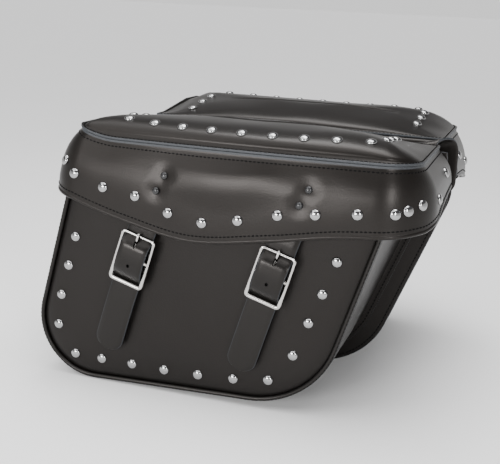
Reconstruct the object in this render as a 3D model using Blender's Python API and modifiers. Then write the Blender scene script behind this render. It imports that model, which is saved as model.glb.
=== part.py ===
"""Pair of leather throw-over motorcycle saddlebags on one yoke.  Metres, +Z up.

The bags stand back to back.  X runs along the motorcycle, the middle plane between the bags is
y = 0, and a piece of the near bag lies at y = -depth, where depth is its distance from that plane.
The far bag is the near bag's mirror image.  Sizes are laid out from the middle of the lids, and the
finished pair is then moved along X so that the origin is on the ground under its overall middle.
"""
import math

import bmesh
import bpy
from mathutils import Matrix, Vector

MM = 0.001
GAP = 0.3 * MM                      # air left between two pieces that touch
LEATHER = 3.0 * MM                  # thickness of the body, lid and yoke leather

LID_HALF = 217.0 * MM
STRETCH = LID_HALF / (217.0 * MM)   # widths along the bag follow the lid's length

# Bag body.  Corners are (x, z) from the top left, down and round to the top right.
BACK_DEPTH = 22.0 * MM              # middle plane to the inner face of the back panel
BAG_DEPTH = 191.0 * MM              # inner face of the back panel to the outer face of the front
BODY_TOP = 285.0 * MM
BACK_TOP = 318.0 * MM
SHOULDER = 251.0 * MM               # height at which the sides start to lean
FRONT_TOP_LEFT = -205.0 * MM * STRETCH
FRONT_TOP_RIGHT = 166.0 * MM * STRETCH
FRONT_SHOULDER_LEFT = -230.0 * MM * STRETCH
FRONT_SHOULDER_RIGHT = 185.0 * MM * STRETCH
FRONT_FOOT_LEFT = -294.0 * MM * STRETCH
FRONT_FOOT_RIGHT = 113.0 * MM * STRETCH
FRONT_FOOT_DIP = 3.0 * MM           # corner point of the left foot, cut off by its rounding
FRONT_FOOT_RISE = 12.0 * MM         # the front edge climbs to this height at the right foot
FRONT_RADII = (20.0 * MM, 79.0 * MM, 120.0 * MM, 20.0 * MM)
BACK_HALF = 237.0 * MM * STRETCH
BACK_FOOT_LEFT = -306.0 * MM * STRETCH
BACK_FOOT_RIGHT = 136.0 * MM * STRETCH
BACK_RADII = (60.0 * MM, 85.0 * MM, 110.0 * MM, 60.0 * MM)
FLANGE = 33.0 * MM                  # the back panel stands out this far past the gusset
SEAM_LAP = 11.0 * MM                # width of the gusset's turned edge on the back panel
PIPING_RADIUS = 3.0 * MM
BOARD = 2.5 * MM                    # thickness of the stiffening boards

# Lid.
LID_BACK = 30.0 * MM                # depth of the lid's back edge
LID_FRONT = BACK_DEPTH + BAG_DEPTH - 3.0 * MM     # depth of its front edge at the corners
LID_BOW = 8.0 * MM                  # the front edge bows out this much more at the middle
LID_RADIUS_FRONT = 45.0 * MM
LID_RADIUS_BACK = 8.0 * MM
LID_SEAM = 325.0 * MM               # height of the seam between the top and the fascia
LID_FLANGE = 8.0 * MM               # width of the raised seam
LID_CROWN = 25.0 * MM               # rise of the padded top above the seam
LID_CROWN_RUN = 80.0 * MM           # distance over which the crown rises
HINGE_DEPTH = 28.0 * MM
HINGE_HEIGHT = 324.0 * MM
FASCIA_BACK = 35.0 * MM             # depth at which the fascia's two ends stop
FASCIA_FLARE = 21.0 * MM            # how far the lower edge stands out past the seam's root
FASCIA_FLARE_LEFT = 20.0 * MM       # more of it at the leaning side
FASCIA_FLARE_RIGHT = 6.0 * MM
FASCIA_RADIUS = 36.0 * MM           # plan radius of its corners at the lower edge
# Drop of the fascia's lower edge below the seam, along its developed length: negative lengths
# are left of the middle, and lengths past the lid's half width are on its sides.
FASCIA_DROP = tuple((length * MM * STRETCH, drop * MM) for length, drop in (
    (-390, 50), (-290, 55), (-229, 64), (-191, 79), (-123, 97), (-42, 111), (52, 99), (129, 85),
    (193, 79), (250, 72), (390, 50)))

# Cross-section of the fascia: share of the drop, and share of the flare reached there.
FASCIA_PROFILE = ((0.01, 0.0), (0.09, 0.04), (0.18, 0.34), (0.28, 0.60), (0.44, 0.80), (0.70, 0.95), (1.0, 1.0))

# Straps and buckles, in the strap's own axes: across, down its length, and out from the panel.
STRAP_LEAN = math.radians(16.5)
STRAP_PLACES = (("left", -128.0 * MM * STRETCH, 180.0 * MM), ("right", 54.0 * MM * STRETCH, 182.0 * MM))
STRAP_WIDTH = 38.0 * MM
STRAP = 3.2 * MM                    # strap leather
STRAP_TOP = -119.0 * MM             # its riveted end, above the buckle's middle
STRAP_TIP = 134.0 * MM              # its free tip, below the buckle's middle
STRAP_END_CUT = 9.0 * MM
BAR = 2.5 * MM                      # radius of the buckle's wire
BUCKLE_WIDTH = STRAP_WIDTH + 2 * BAR + 5.7 * MM
BUCKLE_HEIGHT = 67.0 * MM
BUCKLE_CORNER = 5.0 * MM
BUCKLE_OUT = 16.0 * MM              # buckle's middle plane, out from the panel
PRONG = 1.5 * MM                    # radius of the prong's wire
PRONG_EYE = 1.2 * MM                # wall of the prong's eye
EYE_HALF = 2.1 * MM                 # half of its width along the bar
SLOT_WIDTH = 6.0 * MM
SLOT_TOP = -29.5 * MM
SLOT_BOTTOM = -16.0 * MM
CHAPE = 1.6 * MM
CHAPE_WIDTH = 24.0 * MM
# Rivets that hold a strap to the fascia: name, then place across and down the strap.
RIVETS = (("upper", -6.5 * MM, -115.5 * MM), ("lower", -3.0 * MM, -94.5 * MM))
RIVET_HEAD = 4.0 * MM               # radius of the domed head
RIVET_RISE = 1.8 * MM
RIVET_SHANK = 1.6 * MM
RIVET_CAP = 3.0 * MM                # radius of the cap behind the strap
RIVET_CAP_THICKNESS = 1.0 * MM
RIVET_STAND = 1.0 * MM              # air under the head, which spans the fascia's curve

# Side-release clip behind each strap.
CLIP_WIDTH = 26.0 * MM
CLIP_THICKNESS = 4.6 * MM
CLIP_BASE = 8.0 * MM
CLIP_ARM = 18.0 * MM
CLIP_ARM_WIDTH = 4.0 * MM
CLIP_GUIDE_WIDTH = 7.0 * MM
CLIP_TOP = 25.0 * MM                # top of the male half, below the buckle's middle
CLIP_REST = 4.0 * MM                # released: air between the arms and the mouth
CLIP_CLEARANCE = 0.5 * MM
CLIP_WALL = 1.7 * MM
CLIP_TRAVEL = 20.0 * MM
CLIP_SOCKET = 30.0 * MM             # length of the female half

# Yoke between the two bags.
YOKE_HALF_LENGTH = 228.0 * MM * STRETCH
YOKE_TOP = 322.0 * MM
YOKE_SKIRT = 68.0 * MM              # height of the skirts that hang down between the bags
YOKE_BEND = 7.0 * MM

FINISHES = {
    "leather": ((0.020, 0.018, 0.017), 0.42, 0.0),
    "lid_leather": ((0.026, 0.023, 0.021), 0.38, 0.0),
    "edge_leather": ((0.030, 0.031, 0.034), 0.55, 0.0),
    "board": ((0.055, 0.045, 0.035), 0.80, 0.0),
    "nickel": ((0.62, 0.61, 0.59), 0.18, 1.0),
    "black_rivet": ((0.012, 0.012, 0.013), 0.30, 0.0),
    "clip_plastic": ((0.015, 0.015, 0.016), 0.45, 0.0),
    "webbing": ((0.018, 0.018, 0.019), 0.85, 0.0),
}


# ---------------------------------------------------------------- scene and object helpers
def clear_scene():
    for item in list(bpy.data.objects):
        bpy.data.objects.remove(item, do_unlink=True)


def new_collection(name):
    group = bpy.data.collections.new(name)
    bpy.context.scene.collection.children.link(group)
    return group


def finish_material(name):
    """Return the Principled material of a finish, made on first use."""
    if name in bpy.data.materials:
        return bpy.data.materials[name]
    colour, roughness, metallic = FINISHES[name]
    material = bpy.data.materials.new(name)
    material.use_nodes = True
    shader = material.node_tree.nodes["Principled BSDF"]
    shader.inputs["Base Color"].default_value = (*colour, 1.0)
    shader.inputs["Roughness"].default_value = roughness
    shader.inputs["Metallic"].default_value = metallic
    return material


def add_object(name, mesh, finish, group):
    mesh.name = name
    mesh.materials.clear()
    mesh.materials.append(finish_material(finish))
    item = bpy.data.objects.new(name, mesh)
    group.objects.link(item)
    return item


def set_origin(item, point):
    """Move the object's origin to a world point and leave its shape where it is."""
    item.data.transform(Matrix.Translation(-Vector(point)))
    item.location = point


def mesh_from_curve(curve):
    """Turn a curve into a welded closed mesh and remove the curve."""
    item = bpy.data.objects.new("outline", curve)
    bpy.context.scene.collection.objects.link(item)
    bpy.context.view_layer.update()
    evaluated = item.evaluated_get(bpy.context.evaluated_depsgraph_get())
    mesh = bpy.data.meshes.new_from_object(evaluated)
    bpy.data.objects.remove(item, do_unlink=True)
    bpy.data.curves.remove(curve)
    shape = bmesh.new()
    shape.from_mesh(mesh)
    bmesh.ops.remove_doubles(shape, verts=shape.verts, dist=0.00002)
    bmesh.ops.recalc_face_normals(shape, faces=shape.faces)
    shape.to_mesh(mesh)
    shape.free()
    return mesh


def tube_mesh(points, radius, cyclic=False):
    """Round tube along a list of points, with closed ends."""
    curve = bpy.data.curves.new("tube", "CURVE")
    curve.dimensions = "3D"
    curve.bevel_depth = radius
    curve.bevel_resolution = 2
    curve.use_fill_caps = not cyclic
    line = curve.splines.new("POLY")
    line.points.add(len(points) - 1)
    for target, point in zip(line.points, points):
        target.co = (*point, 1.0)
    line.use_cyclic_u = cyclic
    return mesh_from_curve(curve)


def slab_mesh(outline, thickness):
    """Flat plate in the local XY plane, centred on it."""
    curve = bpy.data.curves.new("slab", "CURVE")
    curve.dimensions = "2D"
    curve.fill_mode = "BOTH"
    curve.extrude = thickness / 2
    line = curve.splines.new("POLY")
    line.points.add(len(outline) - 1)
    for target, point in zip(line.points, outline):
        target.co = (point[0], point[1], 0.0, 1.0)
    line.use_cyclic_u = True
    return mesh_from_curve(curve)


def upright_slab(outline, near_depth, far_depth):
    """Plate from an (x, z) outline, between two depths of the near bag."""
    mesh = slab_mesh(outline, far_depth - near_depth)
    middle = (near_depth + far_depth) / 2
    mesh.transform(Matrix.Translation((0, -middle, 0)) @ Matrix.Rotation(math.pi / 2, 4, "X"))
    return mesh


def loft_mesh(rows, closed=False, cap=False):
    """Open surface through rows of points that all have the same count."""
    shape = bmesh.new()
    grid = [[shape.verts.new(point) for point in row] for row in rows]
    count = len(rows[0])
    for upper, lower in zip(grid, grid[1:]):
        for j in range(count if closed else count - 1):
            k = (j + 1) % count
            shape.faces.new((lower[j], lower[k], upper[k], upper[j]))
    if cap:
        shape.faces.new(grid[-1][::-1])
    mesh = bpy.data.meshes.new("loft")
    shape.to_mesh(mesh)
    shape.free()
    return mesh


def solidify(item, thickness):
    """Give an open surface its thickness on the side away from its normals."""
    modifier = item.modifiers.new("Thickness", "SOLIDIFY")
    modifier.thickness = thickness
    modifier.offset = -1.0
    modifier.use_even_offset = True


def turned_mesh(profile, turns):
    """Solid of revolution about +Z, from a profile of (radius, height) points that ends on it."""
    shape = bmesh.new()
    points = [shape.verts.new((radius, 0.0, height)) for radius, height in profile]
    edges = [shape.edges.new(pair) for pair in zip(points, points[1:])]
    bmesh.ops.spin(shape, geom=points + edges, axis=(0, 0, 1), cent=(0, 0, 0), angle=2 * math.pi,
                   steps=turns, use_merge=True)
    bmesh.ops.remove_doubles(shape, verts=shape.verts, dist=0.00001)
    bmesh.ops.recalc_face_normals(shape, faces=shape.faces)
    mesh = bpy.data.meshes.new("turned")
    shape.to_mesh(mesh)
    shape.free()
    return mesh


def box_mesh(low, high):
    shape = bmesh.new()
    bmesh.ops.create_cube(shape, size=1.0)
    low, high = Vector(low), Vector(high)
    bmesh.ops.scale(shape, vec=high - low, verts=shape.verts)
    bmesh.ops.translate(shape, vec=(low + high) / 2, verts=shape.verts)
    mesh = bpy.data.meshes.new("box")
    shape.to_mesh(mesh)
    shape.free()
    return mesh


def add_cutter(name, mesh, group):
    cutter = bpy.data.objects.new(name, mesh)
    cutter.hide_render = True
    cutter.display_type = "WIRE"
    group.objects.link(cutter)
    return cutter


def boolean(item, other, operation):
    modifier = item.modifiers.new(operation.title(), "BOOLEAN")
    modifier.operation = operation
    modifier.solver = "EXACT"
    modifier.object = other


# ---------------------------------------------------------------- plane geometry
def inset(corners, distance):
    """Move an open path of corners to its left by a distance; its two ends keep their height."""
    corners = [Vector(corner) for corner in corners]
    lines = []
    for start, end in zip(corners, corners[1:]):
        along = (end - start).normalized()
        side = Vector((-along.y, along.x))
        lines.append((start + side * distance, along))
    first, last = lines[0], lines[-1]
    moved = [first[0] + first[1] * ((corners[0].y - first[0].y) / first[1].y)]
    for (point, along), (other, heading) in zip(lines, lines[1:]):
        gap = other - point
        run = (gap.x * heading.y - gap.y * heading.x) / (along.x * heading.y - along.y * heading.x)
        moved.append(point + along * run)
    moved.append(last[0] + last[1] * ((corners[-1].y - last[0].y) / last[1].y))
    return moved


def arc(corner, before, after, radius, steps):
    """Points of the arc that rounds one corner of a path."""
    into = (corner - before).normalized()
    out = (after - corner).normalized()
    turn = math.acos(max(-1.0, min(1.0, into.dot(out))))
    reach = radius * math.tan(turn / 2)
    side = 1.0 if into.x * out.y - into.y * out.x > 0 else -1.0
    start = corner - into * reach
    centre = start + Vector((-into.y, into.x)) * radius * side
    spoke = start - centre
    points = []
    for step in range(steps + 1):
        angle = side * turn * step / steps
        points.append(centre + Matrix.Rotation(angle, 2) @ spoke)
    return points


def rounded_path(corners, radii, steps=7, closed=False):
    """Path through the corners, with an arc of the given radius at each inner one."""
    corners = [Vector(corner) for corner in corners]
    count = len(corners)
    if closed:
        points = []
        for i, radius in enumerate(radii):
            points += arc(corners[i], corners[i - 1], corners[(i + 1) % count], radius, steps)
        return points
    points = [corners[0]]
    for i, radius in zip(range(1, count - 1), radii):
        points += arc(corners[i], corners[i - 1], corners[i + 1], radius, steps)
    return points + [corners[-1]]


def divided(points, spans, closed=False):
    """Split the given spans of a path, each into its number of equal parts."""
    result = []
    ends = points[1:] + points[:1] if closed else points[1:]
    for i, (start, end) in enumerate(zip(points, ends)):
        parts = spans.get(i, 1)
        result += [start.lerp(end, part / parts) for part in range(parts)]
    return result if closed else result + [points[-1]]


def line_value(knots, place):
    """Value at a place on straight lines through (place, value) knots."""
    place = max(knots[0][0], min(knots[-1][0], place))
    for (x0, v0), (x1, v1) in zip(knots, knots[1:]):
        if place <= x1:
            return v0 + (v1 - v0) * (place - x0) / (x1 - x0)
    return knots[-1][1]


def smooth_value(knots, place):
    """Smooth curve through (place, value) knots, level-headed at its ends."""
    place = max(knots[0][0], min(knots[-1][0], place))
    slopes = []
    for i in range(len(knots)):
        low, high = knots[max(i - 1, 0)], knots[min(i + 1, len(knots) - 1)]
        slopes.append((high[1] - low[1]) / (high[0] - low[0]))
    for i in range(len(knots) - 1):
        (x0, v0), (x1, v1) = knots[i], knots[i + 1]
        if place <= x1:
            t = (place - x0) / (x1 - x0)
            width = x1 - x0
            return ((2 * t**3 - 3 * t**2 + 1) * v0 + (t**3 - 2 * t**2 + t) * width * slopes[i]
                    + (3 * t**2 - 2 * t**3) * v1 + (t**3 - t**2) * width * slopes[i + 1])
    return knots[-1][1]


# ---------------------------------------------------------------- bag body
def front_depth():
    return BACK_DEPTH + BAG_DEPTH


def front_corners():
    return ((FRONT_TOP_LEFT, BODY_TOP), (FRONT_SHOULDER_LEFT, SHOULDER), (FRONT_FOOT_LEFT, -FRONT_FOOT_DIP),
            (FRONT_FOOT_RIGHT, FRONT_FOOT_RISE), (FRONT_SHOULDER_RIGHT, SHOULDER),
            (FRONT_TOP_RIGHT, BODY_TOP))


def back_corners(top):
    return ((-BACK_HALF, top), (-BACK_HALF, SHOULDER), (BACK_FOOT_LEFT, 0.0),
            (BACK_FOOT_RIGHT, 0.0), (BACK_HALF, SHOULDER), (BACK_HALF, top))


def front_path(distance):
    radii = [max(radius - distance, 2 * MM) for radius in FRONT_RADII]
    return rounded_path(inset(front_corners(), distance), radii)


def back_path(distance, top):
    radii = [max(radius - distance, 2 * MM) for radius in BACK_RADII]
    radii[0] = radii[3] = BACK_RADII[0]
    return rounded_path(inset(back_corners(top), distance), radii)


def even_path(points, count):
    """The same path with evenly spaced points."""
    lengths = [0.0]
    for start, end in zip(points, points[1:]):
        lengths.append(lengths[-1] + (end - start).length)
    result = []
    span = 0
    for step in range(count):
        target = lengths[-1] * step / (count - 1)
        while span < len(points) - 2 and lengths[span + 1] < target:
            span += 1
        share = (target - lengths[span]) / (lengths[span + 1] - lengths[span])
        result.append(points[span].lerp(points[span + 1], share))
    return result


def front_panel(group):
    outline = front_path(2 * PIPING_RADIUS + GAP)
    mesh = upright_slab(outline, front_depth() - LEATHER, front_depth())
    return add_object("near_front_panel", mesh, "leather", group)


def front_piping(group):
    depth = front_depth() - LEATHER / 2
    points = [(p.x, -depth, p.y) for p in front_path(PIPING_RADIUS)]
    return add_object("near_front_piping", tube_mesh(points, PIPING_RADIUS), "edge_leather", group)


def gusset(group):
    """Side and bottom wall of the bag, turned outwards at the back for its seam."""
    lean = LEATHER * FLANGE / BAG_DEPTH     # the slanted wall's inner skin stands this far forward
    front_edge = front_depth() - LEATHER / 2 - PIPING_RADIUS - GAP - 2 * lean
    lap_depth = BACK_DEPTH + LEATHER + 2 * GAP + LEATHER
    columns = 37
    front = even_path(front_path(0.0), columns)
    seam = even_path(back_path(FLANGE, BODY_TOP), columns)
    lap = even_path(back_path(FLANGE - SEAM_LAP, BODY_TOP), columns)
    middle = [a.lerp(b, 0.5) for a, b in zip(front, seam)]
    rows = [
        [(p.x, -front_edge, p.y) for p in front],
        [(p.x, -(front_edge + lap_depth) / 2, p.y) for p in middle],
        [(p.x, -lap_depth, p.y) for p in seam],
        [(p.x, -lap_depth, p.y) for p in lap],
    ]
    item = add_object("near_gusset", loft_mesh(rows), "leather", group)
    solidify(item, LEATHER)
    return item


def back_panel(group):
    mesh = upright_slab(back_path(0.0, BACK_TOP), BACK_DEPTH, BACK_DEPTH + LEATHER)
    return add_object("near_back_panel", mesh, "leather", group)


def stiffening_boards(group):
    front_inset = 2 * PIPING_RADIUS + 2 * LEATHER
    inner = front_depth() - LEATHER - GAP
    front = upright_slab(front_path(front_inset), inner - BOARD, inner)
    outer = BACK_DEPTH + LEATHER + GAP
    back = upright_slab(back_path(FLANGE + 2 * LEATHER, BODY_TOP - 6 * MM), outer, outer + BOARD)
    return [add_object("near_front_board", front, "board", group),
            add_object("near_back_board", back, "board", group)]


def hinge_strip(group):
    """Leather strip stitched along the top of the back panel, on which the lid turns."""
    half = LID_HALF - LID_RADIUS_BACK
    low = BACK_DEPTH + LEATHER + GAP
    mesh = box_mesh((-half, -(low + LEATHER), BODY_TOP + 2 * MM), (half, -low, HINGE_HEIGHT - 2 * MM))
    return add_object("near_hinge_strip", mesh, "lid_leather", group)


# ---------------------------------------------------------------- lid
def lid_loop(distance):
    """Closed plan outline of the lid as (x, depth), inset by a distance."""
    half = LID_HALF - distance
    back = LID_BACK + distance
    front = LID_FRONT - distance
    corners = ((-half, back), (half, back), (half, front), (-half, front))
    back_radius = max(LID_RADIUS_BACK - distance, 1 * MM)
    front_radius = max(LID_RADIUS_FRONT - distance, 3 * MM)
    radii = (back_radius, back_radius, front_radius, front_radius)
    steps = 5
    loop = rounded_path(corners, radii, steps, closed=True)
    straights = {steps: 8, 2 * steps + 1: 3, 3 * steps + 2: 8, 4 * steps + 3: 3}
    points = divided(loop, straights, closed=True)
    return [bowed(p, half) for p in points]


def bowed(point, half):
    """Push a plan point of the lid out by the bow of its front edge."""
    share = (point.y - LID_BACK) / (LID_FRONT - LID_BACK)
    push = LID_BOW * max(0.0, 1.0 - (point.x / half) ** 2)
    return Vector((point.x, point.y + push * max(0.0, share)))


def crown_height(distance):
    """Rise of the padded top at a distance inside the seam's root."""
    share = min(1.0, max(0.0, distance / LID_CROWN_RUN))
    return LID_CROWN * (1.0 - (1.0 - share) ** 3) ** (1 / 3)


def lid_top(group):
    flange_top = LID_SEAM + GAP + LEATHER
    rows = []
    for distance in (0.0, LID_FLANGE):
        rows.append([(p.x, -p.y, flange_top) for p in lid_loop(distance)])
    for inner in (1.0 * MM, 4.0 * MM, 10.0 * MM, 22.0 * MM, 42.0 * MM, 66.0 * MM):
        height = flange_top + crown_height(inner)
        rows.append([(p.x, -p.y, height) for p in lid_loop(LID_FLANGE + inner)])
    item = add_object("near_lid_top", loft_mesh(rows, closed=True, cap=True), "lid_leather", group)
    solidify(item, LEATHER)
    return item


def lid_board(group):
    """Board that keeps the padded top flat underneath."""
    outline = [(p.x, -p.y) for p in lid_loop(LID_FLANGE + 3 * LEATHER)]
    mesh = slab_mesh(outline, BOARD)
    mesh.transform(Matrix.Translation((0, 0, LID_SEAM - GAP - BOARD / 2)))
    return add_object("near_lid_board", mesh, "board", group)


def fascia_path(spread):
    """Open plan path of the fascia as (x, depth), from its left end round the front.

    Its spread is 0 at the root of the seam and 1 at the lower edge.
    """
    flare = FASCIA_FLARE * spread
    left = -(LID_HALF - LID_FLANGE + flare + FASCIA_FLARE_LEFT * spread)
    right = LID_HALF - LID_FLANGE + flare + FASCIA_FLARE_RIGHT * spread
    front = LID_FRONT - LID_FLANGE + flare
    root_radius = LID_RADIUS_FRONT - LID_FLANGE
    radius = root_radius + (FASCIA_RADIUS - root_radius) * spread
    return plan_path(left, right, front, radius)


def plan_path(left, right, front, radius):
    corners = ((left, FASCIA_BACK), (left, front), (right, front), (right, FASCIA_BACK))
    steps = 6
    path = rounded_path(corners, (radius, radius), steps)
    path = divided(path, {0: 5, steps + 1: 14, 2 * steps + 2: 5})
    return [bowed(p, max(-left, right)) for p in path]


def fascia_drop(point):
    """Drop of the lower edge under a plan point of the fascia."""
    aside = max(0.0, LID_FRONT - LID_RADIUS_FRONT / 2 - point.y)
    length = point.x + math.copysign(aside, point.x)
    return smooth_value(FASCIA_DROP, length)


def fascia(group):
    outer = plan_path(-LID_HALF, LID_HALF, LID_FRONT, LID_RADIUS_FRONT)
    drops = [fascia_drop(p) for p in fascia_path(0.0)]
    rows = [[(p.x, -p.y, LID_SEAM - LEATHER) for p in outer]]
    for share, spread in FASCIA_PROFILE:
        rows.append([(p.x, -p.y, LID_SEAM - LEATHER - drop * share)
                     for p, drop in zip(fascia_path(spread), drops)])
    item = add_object("near_lid_fascia", loft_mesh(rows), "lid_leather", group)
    solidify(item, LEATHER)
    return item


def fascia_front(x, z):
    """Depth of the fascia's outer face on its front, at a place along it and a height."""
    share = (LID_SEAM - LEATHER - z) / smooth_value(FASCIA_DROP, x)
    spread = line_value(FASCIA_PROFILE, share)
    bow = LID_BOW * (1.0 - (x / LID_HALF) ** 2)
    return LID_FRONT - LID_FLANGE + FASCIA_FLARE * spread + bow


# ---------------------------------------------------------------- straps and buckles
def strap_frame(x, z):
    """Matrix from strap axes (across, down, out) to the world, at the buckle's middle."""
    down = Vector((-math.sin(STRAP_LEAN), 0, -math.cos(STRAP_LEAN)))
    out = Vector((0, -1, 0))
    across = down.cross(out)
    axes = Matrix((across, down, out)).transposed().to_4x4()
    return Matrix.Translation((x, -front_depth(), z)) @ axes


def ribbon_mesh(path, half_width, thickness, end_cut=0.0):
    """Strip along a path of (down, out) points, centred on it, with the corners of its ends cut."""
    sides = []
    for i, point in enumerate(path):
        before = path[max(i - 1, 0)]
        after = path[min(i + 1, len(path) - 1)]
        along = (Vector(after) - Vector(before)).normalized()
        normal = Vector((-along.y, along.x))
        sides.append((Vector(point) + normal * thickness / 2, Vector(point) - normal * thickness / 2))
    rows = []
    for i, (top, bottom) in enumerate(sides):
        width = half_width - end_cut if i in (0, len(sides) - 1) else half_width
        rows.append([(-width, *top), (width, *top), (width, *bottom), (-width, *bottom)])
    shape = bmesh.new()
    grid = [[shape.verts.new(point) for point in row] for row in rows]
    for upper, lower in zip(grid, grid[1:]):
        for j in range(4):
            shape.faces.new((upper[j], upper[(j + 1) % 4], lower[(j + 1) % 4], lower[j]))
    shape.faces.new(grid[0])
    shape.faces.new(grid[-1])
    bmesh.ops.recalc_face_normals(shape, faces=shape.faces)
    mesh = bpy.data.meshes.new("ribbon")
    shape.to_mesh(mesh)
    shape.free()
    return mesh


def strap_path():
    """Route of the strap: under the top bar, over the centre bar, under the bottom bar."""
    bar_row = BUCKLE_HEIGHT / 2 - BAR
    under = BUCKLE_OUT - BAR - GAP - STRAP / 2
    over = BUCKLE_OUT + BAR + GAP + PRONG_EYE + GAP + STRAP / 2
    behind = 3.6 * MM - LEATHER
    return ((STRAP_TOP, behind), (STRAP_TOP + 11 * MM, behind + 3 * MM), (-70 * MM, 6.0 * MM),
            (-48 * MM, under - 2 * MM),
            (-bar_row - 4 * MM, under), (-bar_row + 2 * MM, under), (-24 * MM, under + 4.2 * MM),
            (-18 * MM, over - 1.6 * MM), (-10 * MM, over), (0.0, over + 0.4 * MM),
            (10 * MM, over), (18 * MM, over - 1.6 * MM), (24 * MM, under + 4.2 * MM),
            (bar_row - 2 * MM, under), (bar_row + 4 * MM, under), (60 * MM, under + 0.6 * MM),
            (90 * MM, under), (STRAP_TIP - STRAP_END_CUT, under - 1.0 * MM),
            (STRAP_TIP, under - 1.4 * MM))


def strap(side, frame, group, cutters):
    mesh = ribbon_mesh(strap_path(), STRAP_WIDTH / 2, STRAP, STRAP_END_CUT)
    mesh.transform(frame)
    item = add_object(f"near_strap_{side}", mesh, "leather", group)
    slot = box_mesh((-SLOT_WIDTH / 2, SLOT_TOP, 0.0), (SLOT_WIDTH / 2, SLOT_BOTTOM, 2 * BUCKLE_OUT))
    slot.transform(frame)
    boolean(item, add_cutter(f"near_strap_slot_{side}", slot, cutters), "DIFFERENCE")
    return item


def rivets(side, frame, pieces, group, cutters):
    """Rivets through the fascia and the strap, and the holes that they pass through."""
    made = []
    for level, across, down in RIVETS:
        behind = min(line_value(strap_path(), down + edge) for edge in (-RIVET_CAP, RIVET_CAP))
        cap = behind - STRAP / 2 - GAP
        place = frame @ Vector((across, down, 0.0))
        head = fascia_front(place.x, place.z - RIVET_HEAD) - front_depth() + RIVET_STAND
        profile = ((0.0, cap - RIVET_CAP_THICKNESS), (RIVET_CAP, cap - RIVET_CAP_THICKNESS), (RIVET_CAP, cap),
                   (RIVET_SHANK, cap), (RIVET_SHANK, head), (RIVET_HEAD, head),
                   (RIVET_HEAD * 0.92, head + RIVET_RISE * 0.45), (RIVET_HEAD * 0.6, head + RIVET_RISE * 0.85),
                   (0.0, head + RIVET_RISE))
        stand = frame @ Matrix.Translation((across, down, 0.0))
        mesh = turned_mesh(profile, 14)
        mesh.transform(stand)
        made.append(add_object(f"near_rivet_{level}_{side}", mesh, "black_rivet", group))
        bore = turned_mesh(((0.0, cap), (RIVET_SHANK + GAP, cap), (RIVET_SHANK + GAP, head + RIVET_RISE),
                            (0.0, head + RIVET_RISE)), 14)
        bore.transform(stand)
        cutter = add_cutter(f"near_rivet_bore_{level}_{side}", bore, cutters)
        for piece in pieces:
            boolean(piece, cutter, "DIFFERENCE")
    return made


def buckle(side, frame, group, cutters):
    half_width = BUCKLE_WIDTH / 2 - BAR
    half_height = BUCKLE_HEIGHT / 2 - BAR
    corners = ((-half_width, -half_height), (half_width, -half_height),
               (half_width, half_height), (-half_width, half_height))
    loop = rounded_path(corners, (BUCKLE_CORNER,) * 4, 3, closed=True)
    mesh = tube_mesh([(p.x, p.y, BUCKLE_OUT) for p in loop], BAR, cyclic=True)
    mesh.transform(frame)
    item = add_object(f"near_buckle_{side}", mesh, "nickel", group)
    bar = tube_mesh([(-half_width, 0, BUCKLE_OUT), (half_width, 0, BUCKLE_OUT)], BAR * 0.98)
    bar.transform(frame)
    boolean(item, add_cutter(f"near_buckle_bar_{side}", bar, cutters), "UNION")
    return item


def prong(side, frame, group, cutters):
    """Tongue of the buckle: an eye on the centre bar and a finger whose tip lies on the top bar."""
    eye = BAR + GAP + PRONG_EYE
    rest = BUCKLE_OUT + BAR + GAP + PRONG
    low = BUCKLE_OUT - 0.6 * MM
    tip = -BUCKLE_HEIGHT / 2 - 0.5 * MM
    finger = [(0, -BAR - GAP - 0.8 * MM, low), (0, -17 * MM, low), (0, -22.5 * MM, low + 0.8 * MM),
              (0, -27 * MM, rest - 0.6 * MM), (0, -29.5 * MM, rest), (0, tip, rest)]
    mesh = tube_mesh(finger, PRONG)
    mesh.transform(frame)
    item = add_object(f"near_prong_{side}", mesh, "nickel", group)
    turns = 14
    rows = []
    for across, radius in ((-EYE_HALF, BAR + GAP), (-EYE_HALF, eye),
                           (EYE_HALF, eye), (EYE_HALF, BAR + GAP), (-EYE_HALF, BAR + GAP)):
        rows.append([(across, radius * math.cos(2 * math.pi * t / turns),
                      BUCKLE_OUT + radius * math.sin(2 * math.pi * t / turns)) for t in range(turns)])
    ring = loft_mesh(rows, closed=True)
    shape = bmesh.new()
    shape.from_mesh(ring)
    bmesh.ops.remove_doubles(shape, verts=shape.verts, dist=0.00001)
    bmesh.ops.recalc_face_normals(shape, faces=shape.faces)
    shape.to_mesh(ring)
    shape.free()
    ring.transform(frame)
    boolean(item, add_cutter(f"near_prong_eye_{side}", ring, cutters), "UNION")
    return item


def chape(side, frame, group, cutters):
    """Short webbing tab that hooks on the centre bar and holds the clip's male half."""
    around = BAR + GAP + CHAPE / 2
    path = ((-around, BUCKLE_OUT + 0.5 * MM), (-around * 0.75, BUCKLE_OUT - around * 0.75),
            (0.0, BUCKLE_OUT - around), (5 * MM, BUCKLE_OUT - around - 1.2 * MM),
            (14 * MM, 7.0 * MM), (CLIP_TOP - 1.5 * MM, 5.0 * MM))
    mesh = ribbon_mesh(path, CHAPE_WIDTH / 2, CHAPE)
    mesh.transform(frame)
    item = add_object(f"near_chape_{side}", mesh, "webbing", group)
    reach = BAR + GAP + PRONG_EYE
    slot = box_mesh((-EYE_HALF - GAP, -2 * reach, 0.0), (EYE_HALF + GAP, reach + 1 * MM, 2 * BUCKLE_OUT))
    slot.transform(frame)
    boolean(item, add_cutter(f"near_chape_slot_{side}", slot, cutters), "DIFFERENCE")
    return item


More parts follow.
